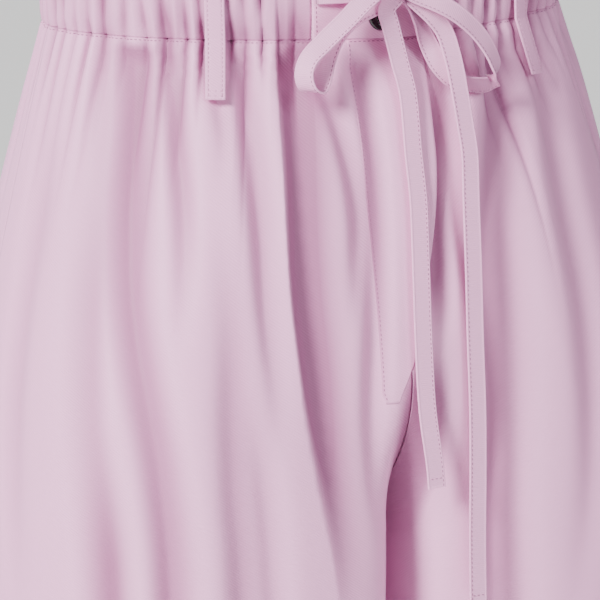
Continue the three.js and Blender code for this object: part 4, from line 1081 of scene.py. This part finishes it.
# ---- Stitches ----
STITCH_LENGTH = 1.4
STITCH_PITCH = 2.3
STITCH_THICK = 0.22
STITCH_SIDES = 6
STITCH_STATIONS = np.array([-0.5, -0.3, 0.3, 0.5])
STITCH_SWELL = np.array([0.4, 1, 1, 0.4])
STITCH_RISE = np.array([-0.12, 0.1, 0.1, -0.12])
PATH_STEP = 0.9  # spacing of the points of a line that stitches follow
HEM_STITCH = LENGTH - 25
SEAM_STITCH = 1.2
FLY_STITCH_INSET = 0.9
JOIN_STITCH_INSET = 2.2
LOOP_TACKS = (2.0, 4.4)
LOOP_TACK_INSET = 0.6
TAPE_STITCH_INSET = 1.3
END_STITCH_RING = -4  # the ring of a free tape end that is stitched across


def stitch_row(path, out):
    """Points and faces of the stitches laid along a path; out points off the cloth."""
    path, out = np.asarray(path), np.asarray(out)
    lengths = np.append(0, np.cumsum(np.linalg.norm(np.diff(path, axis=0), axis=1)))
    count = max(1, int(lengths[-1] // STITCH_PITCH))
    places = ((np.arange(count) + 0.5) * lengths[-1] / count)[:, None] + STITCH_STATIONS * STITCH_LENGTH
    centre = np.stack([np.interp(places, lengths, path[:, k]) for k in range(3)], -1)
    off = np.stack([np.interp(places, lengths, out[:, k]) for k in range(3)], -1)
    run = centre[:, -1] - centre[:, 0]
    run = (run / np.linalg.norm(run, axis=-1, keepdims=True))[:, None, :]
    off -= run * np.sum(off * run, axis=-1, keepdims=True)
    off /= np.linalg.norm(off, axis=-1, keepdims=True)
    side = np.cross(run, off)
    turn = np.arange(STITCH_SIDES) * 2 * np.pi / STITCH_SIDES
    radius = STITCH_THICK * STITCH_SWELL[None, :, None, None]
    rise = STITCH_RISE[None, :, None, None]
    points = (centre[:, :, None, :] + side[:, :, None, :] * np.cos(turn)[None, None, :, None] * radius
              + off[:, :, None, :] * (rise + 0.7 * np.sin(turn)[None, None, :, None] * radius))
    end = 3 * STITCH_SIDES
    caps = [[0, 1, 2, 3], [0, 3, 4, 5], [end + 3, end + 2, end + 1, end], [end + 5, end + 4, end + 3, end]]
    one = np.concatenate([grid_faces(4, STITCH_SIDES, wrap=True), caps])
    faces = (one[None] + (np.arange(count) * 4 * STITCH_SIDES)[:, None, None]).reshape(-1, 4)
    return points.reshape(-1, 3), faces


def add_stitches(name, rows, material="thread"):
    """One piece of thread from several rows of stitches, each a path and its outward directions."""
    points, faces, first = [], [], 0
    for path, out in rows:
        row_points, row_faces = stitch_row(path, out)
        points.append(row_points)
        faces.append(row_faces + first)
        first += len(row_points)
    piece = add_object(name, np.concatenate(points), np.concatenate(faces).tolist())
    return finish_piece(piece, [], material)


def panel_path(quarter, start, stop, drop):
    """A level line on a panel between two distances from the side seam."""
    along = np.arange(start, stop, PATH_STEP)
    return body_row(quarter, along, drop, -panel_depth(quarter, along, drop))


def upright_path(spots):
    """The line through the first point of each of many short rows, and its outward directions."""
    return np.array([points[0] for points, _ in spots]), np.array([normals[0] for _, normals in spots])


def stitch_panel(quarter):
    hem_end = quarter_outline(quarter, HEM_STITCH).total - 1
    under_fly = {"front_right": FLY_STITCH, "front_left": FLY_LEFT}.get(quarter.name, 0)
    waist_end = quarter_outline(quarter, SEAM_STITCH).total - under_fly
    rows = [panel_path(quarter, 1, hem_end, HEM_STITCH), panel_path(quarter, 1, waist_end, SEAM_STITCH)]
    return add_stitches(quarter.name + "_stitches", rows)


def stitch_fly():
    x = np.arange(-FLY_STITCH + 1, FLY_LEFT - 1, PATH_STEP)
    across = lying_row(x, SEAM_STITCH, fly_height(x, SEAM_STITCH))
    spots = []
    for drop in np.arange(2, FLY_LENGTH - 1, PATH_STEP):
        place = [fly_edges(drop)[0] + FLY_STITCH_INSET]
        spots.append(lying_row(place, drop, fly_height(place, drop)))
    return add_stitches("fly_stitches", [across, upright_path(spots)])


def stitch_loop(loop):
    rows = []
    drops = np.arange(LOOP_START + 1, LOOP_DROP - 1, PATH_STEP)
    for side in (-1, 1):
        place = np.array([side * (LOOP_WIDTH / 2 - LOOP_STITCH_INSET)])
        rows.append(upright_path([loop_row(loop, place, drop, [loop_height(drop) + LOOP_CLOTH - 0.1])
                                  for drop in drops]))
    across = np.linspace(LOOP_TACK_INSET - LOOP_WIDTH / 2, LOOP_WIDTH / 2 - LOOP_TACK_INSET, 12)
    for tack in LOOP_TACKS:
        for drop in (LOOP_DROP - tack, LOOP_START + tack):
            rows.append(loop_row(loop, across, drop, np.full_like(across, loop_height(drop) + LOOP_CLOTH)))
    return add_stitches(loop.name + "_stitches", rows, "fine_thread")


def stitch_join(side, name):
    """An upright seam that joins the plain front of the waistband to the gathered casing."""
    x = side * (FLAT_FRONT - JOIN_STITCH_INSET)
    spots = [lying_row([x], -height, [min(casing_swell(height), 0.4)])
             for height in np.arange(1, BAND_HEIGHT - 2, PATH_STEP)]
    return add_stitches("waistband_join_stitches_" + name, [upright_path(spots)])


def stitch_tape(name, knot_ends, edge):
    """A dashed line near one edge of a tape, on both of its faces; edge is -1 or 1."""
    tape = TAPES[name]
    reach = TAPE_WIDTH / 2 - TAPE_STITCH_INSET
    line = tape.centres + tape.across * edge * reach
    rows = [(line + tape.faces_out * face * TAPE_WALL / 2, tape.faces_out * face) for face in (-1, 1)]
    if knot_ends == 1:  # a free end is stitched across as well
        ring = END_STITCH_RING
        side = np.linspace(-reach, reach, 8)[:, None]
        for face in (-1, 1):
            out = np.tile(tape.faces_out[ring] * face, (8, 1))
            rows.append((tape.centres[ring] + tape.across[ring] * side + out * TAPE_WALL / 2, out))
    return add_stitches(name + "_stitches", rows)


PANEL_STITCHES = {quarter.name: stitch_panel(quarter) for quarter in QUARTERS}
FLY_STITCHES = stitch_fly()
LOOP_STITCHES = [stitch_loop(loop) for loop in BELT_LOOPS]
JOIN_STITCHES = [stitch_join(-1, "right"), stitch_join(1, "left")]
TAPE_STITCHES = {row.name: stitch_tape(row.name, row.knot_ends, row.stitch_edge) for row in STRETCHES}


# ---- Button ----
BUTTON_HEIGHT = 11.2
BUTTON_X = -1.8
BUTTON_LIFT = 1.0
BUTTON_FACE = 1.85
BUTTON_PROFILE = table("radius out", [  # from the middle of the back round the rim to the middle of the face
    (0.01, 0), (3, 0), (5.8, 0.05), (6.7, 0.3), (7.2, 0.75), (7.4, 1.2), (7.35, 1.7), (7.1, 2.15),
    (6.7, 2.45), (6.2, 2.55), (5.7, 2.45), (5.3, 2.2), (5.0, 2.0), (4.6, 1.9), (3.9, 1.87), (3.4, 1.86),
    *((radius, BUTTON_FACE) for radius in (3.1, 2.8, 2.5, 2.2, 1.9, 1.6, 1.3, 1.0, 0.6, 0.01)),
])
BUTTON_RIM = 10  # how many rings lie outside the face
HOLE_PLACE, HOLE_RADIUS, HOLE_DEPTH = 1.7, 0.85, 1.3
BUTTON_SIDES = 96


def make_button():
    front = lying_row([0.0], -BUTTON_HEIGHT, [0.0])[0][0]
    centre = np.array([BUTTON_X, front[1] - BUTTON_LIFT, front[2]])
    turn = np.linspace(0, 2 * math.pi, BUTTON_SIDES, endpoint=False)
    points = []
    for ring, spot in enumerate(BUTTON_PROFILE):
        x, z = spot.radius * np.sin(turn), spot.radius * np.cos(turn)
        out = np.full_like(x, spot.out)
        if ring >= BUTTON_RIM:
            away = np.hypot(np.abs(x) - HOLE_PLACE, np.abs(z) - HOLE_PLACE)
            out -= HOLE_DEPTH * (1 - smooth(HOLE_RADIUS * 0.7, HOLE_RADIUS * 1.2, away))
        points.append(centre + np.stack([x, -out, z], -1))
    faces = grid_faces(len(BUTTON_PROFILE), BUTTON_SIDES, wrap=True, turned=True).tolist()
    last = (len(BUTTON_PROFILE) - 1) * BUTTON_SIDES
    faces += [list(range(BUTTON_SIDES)), list(range(last, last + BUTTON_SIDES))[::-1]]
    piece = add_object("button_plastic", np.concatenate(points), faces)
    finish_piece(piece, ["button"], "button")
    rows = []
    for z in (-HOLE_PLACE, HOLE_PLACE):
        x = np.linspace(-HOLE_PLACE, HOLE_PLACE, 8)
        path = centre + np.stack([x, np.full(8, -BUTTON_FACE - 0.1), np.full(8, z)], -1)
        rows.append((path, np.tile([0.0, -1.0, 0.0], (8, 1))))
    add_stitches("button_thread", rows)


make_button()


# ---- Light, world, floor and backdrop ----
FLOOR_DROP = LENGTH + 12
STAGE = 16000.0  # half the width of the floor
BACKDROP_Y, BACKDROP_TOP = 12000.0, 9000.0
LIGHT_TARGET = Vector((0, 0, -0.2))


def add_light(name, place, size, power, colour):
    data = bpy.data.lights.new(name, "AREA")
    data.shape = "DISK"
    data.size = size
    data.energy = power
    data.color = colour
    light = bpy.data.objects.new(name, data)
    light.location = place
    light.rotation_euler = (LIGHT_TARGET - Vector(place)).to_track_quat("-Z", "Y").to_euler()
    bpy.context.scene.collection.objects.link(light)


add_light("key", (-3.1, -1.6, 1.6), 1.2, 330, (1.0, 0.99, 0.98))
add_light("fill", (1.1, -3.1, 0.9), 1.6, 60, (0.98, 0.98, 1.0))
add_light("back", (0.5, 3.0, 1.4), 2.0, 40, (1.0, 1.0, 1.0))

world = bpy.data.worlds.new("studio")
bpy.context.scene.world = world
world.use_nodes = True
set_values(world.node_tree.nodes["Background"], Color=(1.0, 0.98, 0.99, 1), Strength=0.12)


def make_paper(name, corners, **finish):
    """One flat sheet of the studio."""
    sheet = add_object(name, corners, [(0, 1, 2, 3)])
    material, _, shader = new_material(name)
    set_values(shader, **finish)
    sheet.data.materials.append(material)
    return sheet


floor = make_paper("floor", [(x, y, -FLOOR_DROP) for x, y in (
    (-STAGE, -STAGE), (STAGE, -STAGE), (STAGE, STAGE), (-STAGE, STAGE))],
    Base_Color=(0.82, 0.81, 0.81, 1), Roughness=0.8)
backdrop = make_paper("backdrop", [(x, BACKDROP_Y, z) for x, z in (
    (-STAGE, -FLOOR_DROP), (STAGE, -FLOOR_DROP), (STAGE, BACKDROP_TOP), (-STAGE, BACKDROP_TOP))],
    Base_Color=(0.8, 0.8, 0.8, 1), Roughness=0.9,
    Emission_Color=(1.0, 0.99, 0.99, 1), Emission_Strength=0.75)
